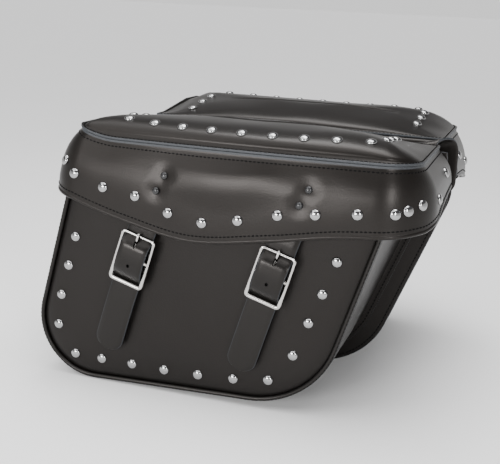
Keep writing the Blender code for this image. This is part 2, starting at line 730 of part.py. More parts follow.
def clip_male(side, frame, group):
    """Male half of the side-release clip: a base, two springy arms and a guide."""
    half = CLIP_WIDTH / 2
    arm_in = half - CLIP_ARM_WIDTH
    guide = CLIP_GUIDE_WIDTH / 2
    top, base = CLIP_TOP, CLIP_TOP + CLIP_BASE
    tip = base + CLIP_ARM
    outline = [(-half, top), (half, top), (half, tip - 2 * MM), (half - 2 * MM, tip), (arm_in, tip),
               (arm_in, base), (guide, base), (guide, tip - 3 * MM), (-guide, tip - 3 * MM),
               (-guide, base), (-arm_in, base), (-arm_in, tip), (-half + 2 * MM, tip),
               (-half, tip - 2 * MM)]
    mesh = slab_mesh(outline, CLIP_THICKNESS)
    mesh.transform(frame @ Matrix.Translation((0, 0, clip_middle())))
    item = add_object(f"near_clip_male_{side}", mesh, "clip_plastic", group)
    set_origin(item, frame @ Vector((0, top, clip_middle())))
    return item


def clip_middle():
    return GAP + CLIP_WALL + CLIP_CLEARANCE + CLIP_THICKNESS / 2


def clip_female(side, frame, group, cutters):
    """Female half, fixed to the front panel, open at its mouth and at both sides."""
    mouth = CLIP_TOP + CLIP_BASE + CLIP_ARM + CLIP_REST
    half = CLIP_WIDTH / 2 + CLIP_CLEARANCE
    low = GAP + CLIP_WALL
    high = low + CLIP_THICKNESS + 2 * CLIP_CLEARANCE
    foot = mouth + CLIP_SOCKET
    body = box_mesh((-half - CLIP_WALL, mouth, GAP), (half + CLIP_WALL, foot, high + CLIP_WALL))
    body.transform(frame)
    item = add_object(f"near_clip_female_{side}", body, "clip_plastic", group)
    hollow = box_mesh((-half, mouth - 5 * MM, low), (half, foot - 2 * CLIP_WALL, high))
    hollow.transform(frame)
    boolean(item, add_cutter(f"near_clip_hollow_{side}", hollow, cutters), "DIFFERENCE")
    window = box_mesh((-half - 3 * CLIP_WALL, mouth + 8 * MM, low),
                      (half + 3 * CLIP_WALL, mouth + CLIP_TRAVEL, high))
    window.transform(frame)
    boolean(item, add_cutter(f"near_clip_window_{side}", window, cutters), "DIFFERENCE")
    return item


# ---------------------------------------------------------------- yoke
def yoke(group):
    """Leather bridge between the bags: a flat top and a skirt down each back panel."""
    half = BACK_DEPTH - GAP
    corners = ((-half, YOKE_TOP - YOKE_SKIRT), (-half, YOKE_TOP), (half, YOKE_TOP),
               (half, YOKE_TOP - YOKE_SKIRT))
    section = rounded_path(corners, (YOKE_BEND, YOKE_BEND), 4)
    rows = [[(x, p.x, p.y) for p in section] for x in (-YOKE_HALF_LENGTH, YOKE_HALF_LENGTH)]
    item = add_object("yoke", loft_mesh(rows), "lid_leather", group)
    solidify(item, LEATHER)
    return item


# ---------------------------------------------------------------- far bag
def mirrored(item, group):
    """Far-side copy of a near-side piece, reflected in the middle plane."""
    evaluated = item.evaluated_get(bpy.context.evaluated_depsgraph_get())
    mesh = bpy.data.meshes.new_from_object(evaluated)
    mesh.transform(Matrix.Diagonal((1, -1, 1, 1)))
    mesh.flip_normals()
    name = item.name.replace("near_", "far_")
    mesh.name = name
    copy = bpy.data.objects.new(name, mesh)
    copy.location = (item.location.x, -item.location.y, item.location.z)
    group.objects.link(copy)
    return copy


def near_bag(group, cutters):
    hinge = (0.0, -HINGE_DEPTH, HINGE_HEIGHT)
    pieces = [front_panel(group), front_piping(group), gusset(group), back_panel(group),
              hinge_strip(group), *stiffening_boards(group)]
    lid = (lid_top(group), lid_board(group), fascia(group))
    for piece in lid:
        set_origin(piece, hinge)
        pieces.append(piece)
    for side, x, z in STRAP_PLACES:
        frame = strap_frame(x, z)
        pieces.append(strap(side, frame, group, cutters))
        pieces += rivets(side, frame, (lid[-1], pieces[-1]), group, cutters)
        pieces.append(buckle(side, frame, group, cutters))
        pieces.append(prong(side, frame, group, cutters))
        pieces.append(chape(side, frame, group, cutters))
        pieces.append(clip_male(side, frame, group))
        pieces.append(clip_female(side, frame, group, cutters))
    return pieces


def overall_middle(group):
    """X of the middle of the whole pair's box."""
    depsgraph = bpy.context.evaluated_depsgraph_get()
    low, high = math.inf, -math.inf
    for item in group.objects:
        for corner in item.evaluated_get(depsgraph).bound_box:
            x = (item.matrix_world @ Vector(corner)).x
            low, high = min(low, x), max(high, x)
    return (low + high) / 2


def centre_pair(group, cutters):
    """Hang every piece on one empty and move it so that the origin is under the middle."""
    base = bpy.data.objects.new("saddlebag_base", None)
    group.objects.link(base)
    for item in [*group.objects, *cutters.objects]:
        if item is not base:
            item.parent = base
    base.location.x = -overall_middle(group)
    print("saddlebag base at x =", round(base.location.x, 5))


def main():
    clear_scene()
    group = new_collection("saddlebags")
    cutters = new_collection("cutters")
    pieces = near_bag(group, cutters)
    yoke(group)
    bpy.context.view_layer.update()
    for piece in pieces:
        mirrored(piece, group)
    bpy.context.view_layer.update()
    centre_pair(group, cutters)


main()
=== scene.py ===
# %% [markdown]
# A pair of slanted leather saddlebags for a motorcycle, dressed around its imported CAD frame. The
# frame holds every piece at its true size and on the body that it moves with. This lesson keeps
# those places and gives each piece its finer surface: padding, rolled hems, thread, studs, and
# leather with grain.

# %% Load the frame
import math

import bmesh
import bpy
from mathutils import Matrix, Vector, noise


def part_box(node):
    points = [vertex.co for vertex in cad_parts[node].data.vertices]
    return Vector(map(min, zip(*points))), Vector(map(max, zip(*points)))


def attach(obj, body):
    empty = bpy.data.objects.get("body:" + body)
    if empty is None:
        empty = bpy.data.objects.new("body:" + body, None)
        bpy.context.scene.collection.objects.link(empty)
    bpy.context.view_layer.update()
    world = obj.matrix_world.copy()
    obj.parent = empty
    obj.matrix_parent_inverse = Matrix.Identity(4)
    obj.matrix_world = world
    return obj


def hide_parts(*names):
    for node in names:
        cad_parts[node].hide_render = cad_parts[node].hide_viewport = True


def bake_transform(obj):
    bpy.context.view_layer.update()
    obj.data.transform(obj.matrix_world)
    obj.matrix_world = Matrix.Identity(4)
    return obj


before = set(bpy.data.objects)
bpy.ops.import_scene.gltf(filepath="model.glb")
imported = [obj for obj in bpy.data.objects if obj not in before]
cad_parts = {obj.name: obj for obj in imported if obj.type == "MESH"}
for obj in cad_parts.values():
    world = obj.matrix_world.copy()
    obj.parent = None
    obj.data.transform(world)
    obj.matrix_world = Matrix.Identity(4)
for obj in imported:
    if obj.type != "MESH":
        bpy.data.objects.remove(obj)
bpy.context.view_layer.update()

# %% [markdown]
# Lengths are written in millimetres times MM. The two bags stand back to back and mirror each
# other, so a point is given once, as (x from the lids' middle, depth from the plane between the
# bags, height), and `at` turns it into a world point of the near bag or of the far bag.

# %% Places shared by both bags
MM = 0.001
SIDES = {"near": -1, "far": 1}
lid_low, lid_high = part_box("near_lid_top")
MIDDLE = (lid_low.x + lid_high.x) / 2


def at(side, point):
    """World point from (x, depth, height)."""
    return Vector((MIDDLE + point[0], SIDES[side] * point[1], point[2]))


print("lids' middle at x =", round(MIDDLE, 5), "m")

# %% [markdown]
# A leather panel is a smooth sheet with a rounded outline, so most of the shapes below are grids of
# points: rows that follow an outline, stacked into a skin. `Skin` collects such grids, with a
# material number for each, and makes one mesh of them. Building faces from rules keeps the seams,
# rims and dimples exactly where the leather has them, which sculpting by hand would not repeat.


# %% Collect grids of points into one mesh
WELD = 0.00002                      # points of neighbouring grids closer than this become one, m


def angles(count):
    """Evenly spaced angles around a circle."""
    return [math.tau * step / count for step in range(count)]


class Skin:
    """Points and faces that become one mesh."""

    def __init__(self):
        self.points = []
        self.faces = []
        self.finish = []

    def grid(self, rows, finish=0, around=False, along=False):
        """Quads through rows of points; around joins each row's ends, along the first and last rows."""
        start = len(self.points)
        count = len(rows[0])
        for row in rows:
            self.points.extend(row)
        for i in range(len(rows) if along else len(rows) - 1):
            low, high = start + i * count, start + (i + 1) % len(rows) * count
            for j in range(count if around else count - 1):
                k = (j + 1) % count
                self.faces.append((low + j, low + k, high + k, high + j))
                self.finish.append(finish)
        return start

    def cap(self, indices, finish=0):
        """One face over the points with these indices."""
        self.faces.append(tuple(indices))
        self.finish.append(finish)

    def ring_solid(self, rows, finish=0):
        """Closed body from rings of points, with both ends capped."""
        start = self.grid(rows, finish, around=True)
        count = len(rows[0])
        self.cap(range(start + count - 1, start - 1, -1), finish)
        last = start + (len(rows) - 1) * count
        self.cap(range(last, last + count), finish)

    def build(self, side, name, materials, merge=0.0):
        """The mesh object of one bag, with its faces pointing out."""
        mesh = bpy.data.meshes.new(f"{side}_{name}")
        mesh.from_pydata([at(side, point) for point in self.points], [], self.faces)
        for material in materials:
            mesh.materials.append(material)
        mesh.polygons.foreach_set("material_index", self.finish)
        edit = bmesh.new()
        edit.from_mesh(mesh)
        if merge:
            bmesh.ops.remove_doubles(edit, verts=edit.verts, dist=merge)
        bmesh.ops.recalc_face_normals(edit, faces=edit.faces)
        edit.to_mesh(mesh)
        edit.free()
        mesh.shade_smooth()
        piece = bpy.data.objects.new(f"{side}_{name}", mesh)
        bpy.context.scene.collection.objects.link(piece)
        return piece


# %% [markdown]
# Outlines are paths of corners joined by arcs, as a pattern maker draws them. `rounded` walks such a
# path and returns evenly spaced points, so every later row of a grid has the same count.


# %% Outlines with rounded corners
ARC_STEPS = 16


def inset_path(corners, distance, closed=False):
    """Move a path to its left by a distance; the ends of an open path keep their height."""
    corners = [Vector(corner) for corner in corners]
    count = len(corners)
    lines = []
    for start, end in zip(corners, corners[1:] + corners[:1] if closed else corners[1:]):
        heading = (end - start).normalized()
        lines.append((start + Vector((-heading.y, heading.x)) * distance, heading))
    moved = []
    for i in range(count):
        if not closed and i in (0, count - 1):
            point, heading = lines[0] if i == 0 else lines[-1]
            moved.append(point + heading * ((corners[i].y - point.y) / heading.y))
            continue
        (point, heading), (other, turned) = lines[i - 1], lines[i]
        gap = other - point
        run = (gap.x * turned.y - gap.y * turned.x) / (heading.x * turned.y - heading.y * turned.x)
        moved.append(point + heading * run)
    return moved


def corner_arc(corner, before, after, radius, steps):
    """Points of the arc that rounds a corner off."""
    into, out = (corner - before).normalized(), (after - corner).normalized()
    turn = math.acos(max(-1.0, min(1.0, into.dot(out))))
    side = 1.0 if into.x * out.y - into.y * out.x > 0 else -1.0
    start = corner - into * radius * math.tan(turn / 2)
    centre = start + Vector((-into.y, into.x)) * radius * side
    return [centre + Matrix.Rotation(side * turn * step / steps, 2) @ (start - centre)
            for step in range(steps + 1)]


def evened(points, count, closed=False):
    """The same path with evenly spaced points."""
    points = list(points) + ([points[0]] if closed else [])
    lengths = [0.0]
    for start, end in zip(points, points[1:]):
        lengths.append(lengths[-1] + (end - start).length)
    result, span = [], 0
    for step in range(count):
        target = lengths[-1] * step / (count if closed else count - 1)
        while span < len(points) - 2 and lengths[span + 1] < target:
            span += 1
        share = (target - lengths[span]) / max(lengths[span + 1] - lengths[span], 1e-9)
        result.append(points[span].lerp(points[span + 1], share))
    return result


def rounded(corners, radii, count, closed=False):
    """Evenly spaced points along a path of corners, each rounded by its radius."""
    corners = [Vector(corner) for corner in corners]
    total = len(corners)
    points = [] if closed else [corners[0]]
    for i, radius in enumerate(radii):
        place = i if closed else i + 1
        before, after = corners[place - 1], corners[(place + 1) % total]
        points += corner_arc(corners[place], before, after, radius, ARC_STEPS)
    return evened(points if closed else points + [corners[-1]], count, closed)


def smooth_curve(knots, place):
    """Smooth curve through (place, value) knots."""
    place = max(knots[0][0], min(knots[-1][0], place))
    slopes = []
    for i in range(len(knots)):
        low, high = knots[max(i - 1, 0)], knots[min(i + 1, len(knots) - 1)]
        slopes.append((high[1] - low[1]) / (high[0] - low[0]))
    for i, ((x0, v0), (x1, v1)) in enumerate(zip(knots, knots[1:])):
        if place <= x1:
            t, width = (place - x0) / (x1 - x0), x1 - x0
            return ((2 * t**3 - 3 * t**2 + 1) * v0 + (t**3 - 2 * t**2 + t) * width * slopes[i]
                    + (3 * t**2 - 2 * t**3) * v1 + (t**3 - t**2) * width * slopes[i + 1])
    return knots[-1][1]


def bump(distance, radius):
    """1 at the middle of a soft round bump, 0 from its radius outwards."""
    share = max(0.0, 1.0 - (distance / radius) ** 2)
    return share * share


# %% [markdown]
# Shader maths reads best as formulas. `Value` wraps a socket of a node tree, so that 1 - mask or
# mask * 0.3 adds the Math node that it stands for. `Finish` starts a material and adds any other
# node through one method.


# %% Write shaders as expressions
class Value:
    """A socket that can stand in a formula."""

    def __init__(self, finish, socket):
        self.finish = finish
        self.socket = socket

    def math(self, operation, first, second):
        node = self.finish.tree.nodes.new("ShaderNodeMath")
        node.operation = operation
        for target, value in zip(node.inputs, (first, second)):
            if isinstance(value, Value):
                self.finish.tree.links.new(value.socket, target)
            else:
                target.default_value = value
        return Value(self.finish, node.outputs[0])

    def __add__(self, other):
        return self.math("ADD", self, other)

    def __sub__(self, other):
        return self.math("SUBTRACT", self, other)

    def __mul__(self, other):
        return self.math("MULTIPLY", self, other)

    def __rsub__(self, other):
        return self.math("SUBTRACT", other, self)

    __radd__ = __add__
    __rmul__ = __mul__


def spaced(name):
    """Socket name of a keyword, such as Coat Weight for coat_weight."""
    return name.replace("_", " ").title().replace("Ior", "IOR")


class Nodes:
    """A node tree with one way to add a node."""

    def __init__(self, tree):
        self.tree = tree

    def node(self, kind, settings=None, output=0, **inputs):
        """Add a node: its settings are set first, then its sockets get values or links."""
        node = self.tree.nodes.new("ShaderNode" + kind)
        for setting, value in (settings or {}).items():
            if setting == "stops":
                ramp = node.color_ramp.elements
                while len(ramp) < len(value):
                    ramp.new(0.5)
                for stop, (place, colour) in zip(ramp, value):
                    stop.position, stop.color = place, colour
            else:
                setattr(node, setting, value)
        for name, value in inputs.items():
            socket = node.inputs[int(name[1:]) if name[0] == "i" and name[1:].isdigit() else name]
            if isinstance(value, Value):
                self.tree.links.new(value.socket, socket)
            else:
                socket.default_value = value
        return Value(self, node.outputs[output])


class Finish(Nodes):
    """A material being made, with its Principled shader."""

    def __init__(self, name, roughness, metallic=0.0, **constants):
        self.material = bpy.data.materials.new(name)
        self.material.use_nodes = True
        super().__init__(self.material.node_tree)
        self.shader = self.tree.nodes["Principled BSDF"]
        self.shader.inputs["Roughness"].default_value = roughness
        self.shader.inputs["Metallic"].default_value = metallic
        for socket, value in constants.items():
            self.shader.inputs[spaced(socket)].default_value = value

    def place(self):
        """The object's own coordinates, so that a pattern moves with its piece."""
        return self.node("TexCoord", output=3)

    def noise(self, scale, detail=3.0, roughness=0.5):
        return self.node("TexNoise", Vector=self.place(), Scale=scale, Detail=detail, Roughness=roughness)

    def blend(self, mask, first, second):
        """Colour that goes from first to second as the mask goes from 0 to 1."""
        return self.node("Mix", {"data_type": "RGBA"}, output=2, i0=mask, i6=(*first, 1.0), i7=(*second, 1.0))

    def feed(self, **sockets):
        """Link values to the shader's sockets."""
        for name, value in sockets.items():
            self.tree.links.new(value.socket, self.shader.inputs[spaced(name)])
        return self.material

    def relief(self, height, distance, strength=1.0):
        return self.node("Bump", Height=height, Distance=distance, Strength=strength)


# %% [markdown]
# The leather is smooth, black and oiled: a warm near-black, with a satin sheen that varies a little
# where hands and polish have been. Its grain is fine pebbling of about a millimetre, made from a
# Voronoi pattern and fine noise. It shows only in the relief, since the dye hides it in the colour.


# %% Leather
def leather(name, dark, light, roughness, pebble, depth, coat):
    """Black leather with its grain; pebble is the grain's scale and depth its height."""
    finish = Finish(name, roughness, coat_weight=coat, coat_roughness=0.25, specular_ior_level=0.22,
                    specular_tint=(1.0, 0.93, 0.89, 1.0))
    cloud = finish.noise(9.0, 4.0)
    fine = finish.noise(900.0, 2.0)
    cells = finish.node("TexVoronoi", {"feature": "SMOOTH_F1"}, Vector=finish.place(), Scale=pebble)
    grain = cells * 0.75 + fine * 0.25
    finish.feed(base_color=finish.blend(cloud, dark, light),
                roughness=cloud * 0.10 + fine * 0.06 + (roughness - 0.08),
                normal=finish.relief(grain, depth, 0.55))
    return finish.material


panel_leather = leather("panel_leather", (0.0035, 0.0031, 0.0029), (0.0065, 0.0058, 0.0054),
                        roughness=0.40, pebble=620.0, depth=0.00020, coat=0.0)
lid_leather = leather("lid_leather", (0.0042, 0.0036, 0.0032), (0.0080, 0.0069, 0.0061),
                      roughness=0.34, pebble=560.0, depth=0.00016, coat=0.03)
strap_leather = leather("strap_leather", (0.0032, 0.0030, 0.0028), (0.0060, 0.0056, 0.0052),
                        roughness=0.31, pebble=700.0, depth=0.00014, coat=0.05)
print("leathers:", [m.name for m in (panel_leather, lid_leather, strap_leather)])

# %% [markdown]
# Where leather is cut, its edge is dyed and burnished, with the layers of the hide showing as faint streaks.
# Its cooler, lighter grey is partly the dye and partly a painted highlight for the light that a burnished
# edge catches. Thread, rivets and the hidden webbing and boards get their own finish too, because a lid
# that opens shows them.


# %% Cut edges, thread and linings
def scaled(colour, factor):
    return tuple(value * factor for value in colour)


def dyed_edge_painted_highlight():
    """Dyed edge with the streaks of the hide's layers, its grey lightened and cooled as a painted highlight.
    """
    finish = Finish("dyed_edge_painted_highlight", 0.48)
    streaks = finish.noise(260.0, 5.0, 0.7)
    # the two greys are the edge's dye, lightened and cooled as a painted highlight
    finish.feed(base_color=finish.blend(streaks, (0.010, 0.012, 0.015), (0.026, 0.030, 0.036)),
                normal=finish.relief(streaks, 0.0006))
    return finish.material


def plain_finish(name, colour, roughness, scale, depth, spread=0.25, gloss=0.5):
    """One colour that varies a little, with fine relief of the given scale."""
    finish = Finish(name, roughness, specular_ior_level=gloss)
    grain = finish.noise(scale, 4.0, 0.6)
    finish.feed(base_color=finish.blend(grain, scaled(colour, 1 - spread), scaled(colour, 1 + spread)),
                roughness=grain * 0.12 + (roughness - 0.06), normal=finish.relief(grain, depth, 0.6))
    return finish.material


def woven(name, colour, pitch):
    """Flat webbing: two families of threads that cross at right angles."""
    finish = Finish(name, 0.85)
    waves = []
    for direction in ("X", "Z"):
        waves.append(finish.node("TexWave", {"bands_direction": direction}, Vector=finish.place(),
                                 Scale=pitch, Distortion=0.4))
    weave = waves[0] * 0.5 + waves[1] * 0.5
    finish.feed(base_color=finish.blend(weave, colour, scaled(colour, 2.2)),
                normal=finish.relief(weave, 0.0006))
    return finish.material


# the cut edges' grey is partly dye and partly a painted highlight
edge_dye_and_highlight = dyed_edge_painted_highlight()
strap_edge = plain_finish("strap_edge", (0.016, 0.018, 0.021), 0.50, 260.0, 0.0004, gloss=0.3)
thread = plain_finish("thread", (0.0025, 0.0025, 0.0026), 0.80, 2400.0, 0.0002, gloss=0.10)
rivet_black = plain_finish("rivet_black", (0.010, 0.010, 0.011), 0.28, 300.0, 0.0001)
moulded = plain_finish("moulded_plastic", (0.014, 0.014, 0.015), 0.42, 1500.0, 0.0001)
fibreboard = plain_finish("fibreboard", (0.050, 0.040, 0.032), 0.85, 700.0, 0.0005)
webbing = woven("black_webbing", (0.012, 0.012, 0.013), 380.0)

# %% [markdown]
# Studs and buckles are plated. The studs are bright chrome; the buckle is nickel, slightly warmer,
# with faint polishing marks and a little tarnish in its roughness.


# %% Plated metal
def plated(name, colour, roughness, wear):
    """Polished metal with faint marks; wear darkens them."""
    finish = Finish(name, roughness, 1.0)
    marks = finish.noise(140.0, 5.0, 0.65)
    finish.feed(base_color=finish.blend(marks, scaled(colour, 1 - wear), colour),
                roughness=marks * 0.10 + (roughness - 0.05))
    return finish.material


chrome = plated("stud_chrome", (0.36, 0.36, 0.36), 0.07, 0.10)
nickel = plated("buckle_nickel", (0.56, 0.545, 0.525), 0.17, 0.18)

# %% [markdown]
# Sewn seams are rows of single stitches. Each stitch is a small pill of thread, half sunk in the
# leather, 3.6 mm long with a gap between it and the next. `stitches` lays such pills along a path,
# each turned to the path and lying on the surface.

# %% Thread
STITCH_LENGTH = 3.6 * MM
STITCH_PITCH = 5.2 * MM
STITCH_RADIUS = 0.75 * MM
STITCH_FLAT = 1.15                  # width of a stitch over its height
STITCH_SHAPE = ((-0.5, 0.35), (-0.3, 0.9), (0.0, 1.0), (0.3, 0.9), (0.5, 0.35))


def stitches(skin, path, outward):
    """Add a row of stitches along a path; outward gives the surface's direction at each point."""
    length = sum((b - a).length for a, b in zip(path, path[1:]))
    count = max(2, round(length / STITCH_PITCH))
    stops = evened(path, 2 * count + 1)
    normals = evened([Vector(normal) for normal in outward], 2 * count + 1)
    for i in range(1, 2 * count, 2):
        along = (stops[i + 1] - stops[i - 1]).normalized()
        up = (normals[i] - along * normals[i].dot(along)).normalized()
        across = along.cross(up)
        rings = []
        for place, size in STITCH_SHAPE:
            centre = stops[i] + along * place * STITCH_LENGTH
            rings.append([centre + (across * math.cos(a) * STITCH_FLAT + up * math.sin(a))
                          * STITCH_RADIUS * size for a in angles(6)])
        skin.ring_solid(rings)


# %% [markdown]
# A round or flattened bead, such as piping, a rolled hem or a wire, is a section swept along
# a path. `bead` takes the two half sizes of the section at each point of the path.


# %% Beads and wires
def bead(skin, path, upward, sizes, sides=12, closed=False):
    """Sweep an oval section along a path; sizes are its half sizes along upward and across it."""
    count = len(path)
    rings = []
    for i, point in enumerate(path):
        before = path[i - 1] if closed or i > 0 else point
        after = path[(i + 1) % count] if closed or i < count - 1 else point
        along = (after - before).normalized()
        reference = Vector(upward[i]) if isinstance(upward, list) else Vector(upward)
        up = (reference - along * reference.dot(along)).normalized()
        across = along.cross(up)
        high, wide = sizes[i] if isinstance(sizes, list) else sizes
        rings.append([point + up * high * math.sin(a) + across * wide * math.cos(a)
                      for a in angles(sides)])
    if closed:
        skin.grid(rings, around=True, along=True)
    else:
        skin.ring_solid(rings)


# %% [markdown]
# The studs are domes, 13.5 mm across and about 4 mm high. A turned profile gives the dome and the
# short collar that sinks into the leather under it.

# %% Studs
STUD_RADIUS = 6.75 * MM
STUD_HEIGHT = 3.9 * MM
STUD_COLLAR = ((0.90, -0.25), (1.0, -0.05), (1.0, 0.08))
STUD_STEPS = 8


def stud(skin, centre, normal, radius=STUD_RADIUS, height=STUD_HEIGHT):
    """A domed head that stands on a surface."""
    normal = Vector(normal).normalized()
    across = normal.orthogonal().normalized()
    other = normal.cross(across)
    profile = list(STUD_COLLAR)
    for step in range(1, STUD_STEPS):
        angle = math.pi / 2 * step / STUD_STEPS
        profile.append((math.cos(angle), 0.08 + 0.92 * math.sin(angle)))
    rings = []
    for share, rise in profile:
        rings.append([centre + normal * rise * height
                      + (across * math.cos(a) + other * math.sin(a)) * radius * share
                      for a in angles(20)])
    skin.ring_solid(rings)


# %% [markdown]
# The lid top is a leather cover stretched over padding on a board. Its outline is a long rectangle
# that bows out in front; the raised seam is a flat band around it, and inside the band the
# cover rises steeply and then rounds over. Rings of the outline, each further inside and higher,
# make that crown. The padding is a little uneven, and the cover creases towards the lid's ends.

# %% Lid outline and crown
LID_HALF = (lid_high.x - lid_low.x) / 2
LID_BACK = -lid_high.y
LID_BOW = 8.0 * MM
LID_FRONT = -lid_low.y - LID_BOW
LID_SEAM = lid_low.z
LEATHER = 3.0 * MM
LID_FLANGE = 8.0 * MM
LID_RADII = (8.0 * MM, 8.0 * MM, 45.0 * MM, 18.0 * MM)  # back left, back right, front right, front left
CROWN_ROOT = 5.0 * MM
CROWN_RISE = 25.0 * MM
CROWN_RUN = 80.0 * MM
BACK_FALL = 0.145                   # slope of the cover towards the hinge
CREST_DEPTH = 112.0 * MM            # where that slope starts, at the middle of the lid
CREST_BEND = 82.0 * MM              # and how much further forward it starts 200 mm to a side
RISE_LEFT = 50.0 * MM               # length over which the crown rises at each end
RISE_RIGHT = 85.0 * MM
RING_STEPS = 30                     # points on each corner and on each side of an outline
CORNER_LIFT = 12.5 * MM


def bowed(point, half):
    """Push a plan point forward by the lid's bow, most at the middle of the front."""
    share = (point.y - LID_BACK) / (LID_FRONT - LID_BACK)
    push = LID_BOW * max(0.0, 1.0 - (point.x / half) ** 2)
    return Vector((point.x, point.y + push * max(0.0, share)))


def lid_ring(distance):
    """Plan outline of the lid, inset by a distance, as (x, depth) points."""
    half, back, front = LID_HALF - distance, LID_BACK + distance, LID_FRONT - distance
    corners = [Vector(c) for c in ((-half, back), (half, back), (half, front), (-half, front))]
    radii = [max(radius - distance, 1.5 * MM) for radius in LID_RADII]
    points = []
    for i in range(4):
        points += corner_arc(corners[i], corners[i - 1], corners[(i + 1) % 4], radii[i], RING_STEPS - 1)
        following = (i + 1) % 4
        start = points[-1]
        end = corner_arc(corners[following], corners[i], corners[(i + 2) % 4], radii[following], 1)[0]
        points += [start.lerp(end, step / (RING_STEPS + 1)) for step in range(1, RING_STEPS + 1)]
    return [bowed(point, half) for point in points]


def corner_lift(x, depth):
    """The front corner at the low end is drawn up where two thick seams meet."""
    share = max(0.0, -x - 160 * MM) / (57 * MM)
    return CORNER_LIFT * share**2 * max(0.0, min(1.0, (depth - 60 * MM) / (90 * MM)))


def lid_height(x, depth, distance):
    """Height of the cover above the raised seam, at a distance inside the crown's root."""
    share = min(1.0, max(0.0, distance / CROWN_RUN))
    rise = CROWN_RISE * (1.0 - (1.0 - share) ** 3) ** (1 / 3)
    crest = CREST_DEPTH + CREST_BEND * (x / (200 * MM)) ** 2
    slope = 1.0 - BACK_FALL * max(0.0, crest - depth) / CROWN_RISE
    end = LID_HALF - CROWN_ROOT
    run = max(0.0, min(1.0, (end - x) / RISE_RIGHT, (end + x) / RISE_LEFT))
    taper = (1.0 - (1.0 - run) ** 2) ** 0.55
    soft = noise.noise(Vector((x * 14, depth * 18, 3.0))) * 1.1 * MM
    fold = noise.noise(Vector((x * 60, depth * 16, 7.0))) * 0.9 * MM * bump(abs(x) - 195 * MM, 60 * MM)
    return rise * slope * taper + (soft + fold) * min(1.0, distance / (15 * MM)) + corner_lift(x, depth)


print("lid", round(2 * LID_HALF, 3), "m long, seam at", round(LID_SEAM, 4), "m")

# %% Lid tops
CROWN_STEPS = (0.0, 0.4, 1.0, 2.0, 3.5, 5.5, 8, 11, 14, 17.5, 21.5, 26, 31, 37, 43, 50, 57, 64, 70, 75, 78.5)
STUD_PITCH = 38.6 * MM
STUD_INSET = 14.0 * MM              # from the crown's root
STUD_SINK = 0.3 * MM
CROWN_SINK = 0.6 * MM               # the crown's root lies this far below the flange's face
END_STUDS = ((-170, 142), (-170, 104), (-170, 65), (168, 157), (168, 123), (168, 86))


def lid_studs():
    """(x, depth, distance inside the seam's root) of the studs on one lid top."""
    places = []
    for step in range(-4, 5):
        x = step * STUD_PITCH
        set_back = 9.0 * MM * (abs(step) / 4) ** 4
        front = bowed(Vector((x, LID_FRONT - CROWN_ROOT)), LID_HALF).y
        places.append((x, front - STUD_INSET - set_back, STUD_INSET + set_back))
    for x, depth in END_STUDS:
        places.append((x * MM, depth * MM, 42 * MM))
    return places


def level_ring(distance, z):
    """Outline at a height, lifted at the low front corner."""
    return [(p.x, p.y, z + corner_lift(p.x, p.y)) for p in lid_ring(distance)]


def lid_top(side):
    """The cover: its underside, the cut edge of its flange, the sewn flange and the crown."""
    skin = Skin()
    flange_top = LID_SEAM + LEATHER
    rings = [level_ring(distance, LID_SEAM) for distance in (LID_FLANGE + 8 * MM, 0.7 * MM)]
    under = len(rings)
    for distance, height in ((0.15, 0.25), (0.0, 0.7), (0.0, 2.3), (0.15, 2.75)):
        rings.append(level_ring(distance * MM, LID_SEAM + height * MM))
    for distance in (0.7, 1.8, 3.0, 4.2):
        sag = 0.5 * MM * bump(distance * MM - 3.0 * MM, 1.6 * MM)
        rings.append(level_ring(distance * MM, flange_top - sag))
    for step in CROWN_STEPS:
        ring = lid_ring(CROWN_ROOT + step * MM)
        rings.append([(p.x, p.y, flange_top - CROWN_SINK + lid_height(p.x, p.y, step * MM)) for p in ring])
    skin.grid(rings[:under], 0, around=True)
    skin.grid(rings[under - 1:under + 5], 1, around=True)
    top = skin.grid(rings[under + 4:], 0, around=True)
    count = len(rings[0])
    last = top + (len(rings) - under - 5) * count
    skin.cap(range(last, last + count))
    skin.cap(range(count - 1, -1, -1))
    piece = skin.build(side, "lid_top_cover", [lid_leather, edge_dye_and_highlight], merge=WELD)
    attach(piece, f"{side}_lid")
    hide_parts(f"{side}_lid_top")


def lid_top_studs(side):
    skin = Skin()
    for x, depth, distance in lid_studs():
        height = LID_SEAM + LEATHER - CROWN_SINK + lid_height(x, depth, distance)
        ahead = lid_height(x, depth + 3 * MM, distance - 3 * MM)
        behind = lid_height(x, depth - 3 * MM, distance + 3 * MM)
        lean = 0.0
        if abs(x) > LID_HALF - 50 * MM:
            ahead = lid_height(x, depth + 3 * MM, distance)
            behind = lid_height(x, depth - 3 * MM, distance)
            inner = lid_height(x * 0.97, depth, distance + 5 * MM)
            outer = lid_height(x * 1.03, depth, distance - 5 * MM)
            lean = (inner - outer) / (0.06 * x)
        stud(skin, Vector((x, depth, height - STUD_SINK)), (lean, (behind - ahead) / (6 * MM), 1.0))
    piece = skin.build(side, "lid_top_studs", [chrome])
    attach(piece, f"{side}_lid")


def lid_stitches(side):
    skin = Skin()
    face = LID_SEAM + LEATHER
    path = [Vector((p.x, p.y, face + corner_lift(p.x, p.y) - 0.2 * MM)) for p in lid_ring(3.6 * MM)]
    stitches(skin, path + path[:1], [(0, 0, 1)] * (len(path) + 1))
    piece = skin.build(side, "lid_seam_thread", [thread])
    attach(piece, f"{side}_lid")


for side in SIDES:
    lid_top(side)
    lid_top_studs(side)
    lid_stitches(side)
print("lid tops done, studs on each:", len(lid_studs()))

# %% [markdown]
# The fascia is the lid's skirt: one piece of leather that hangs from the raised seam, swells out and
# ends in a rolled hem whose height changes along the bag. Its section is a smooth curve from
# the seam to the hem, and its rows follow the plan of the lid. The rivets that hold the straps
# draw the leather in, which gives the soft dimples around them, and it swells between them.

# %% Shape of the fascia
FASCIA_BACK = 35.0 * MM
FLARE = 21.0 * MM
FLARE_LEFT = 20.0 * MM
FLARE_RIGHT = 6.0 * MM
FASCIA_RADII = (36.0 * MM, 66.0 * MM)
FASCIA_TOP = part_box("near_lid_fascia")[1].z
TOP_INSET = 0.6 * MM
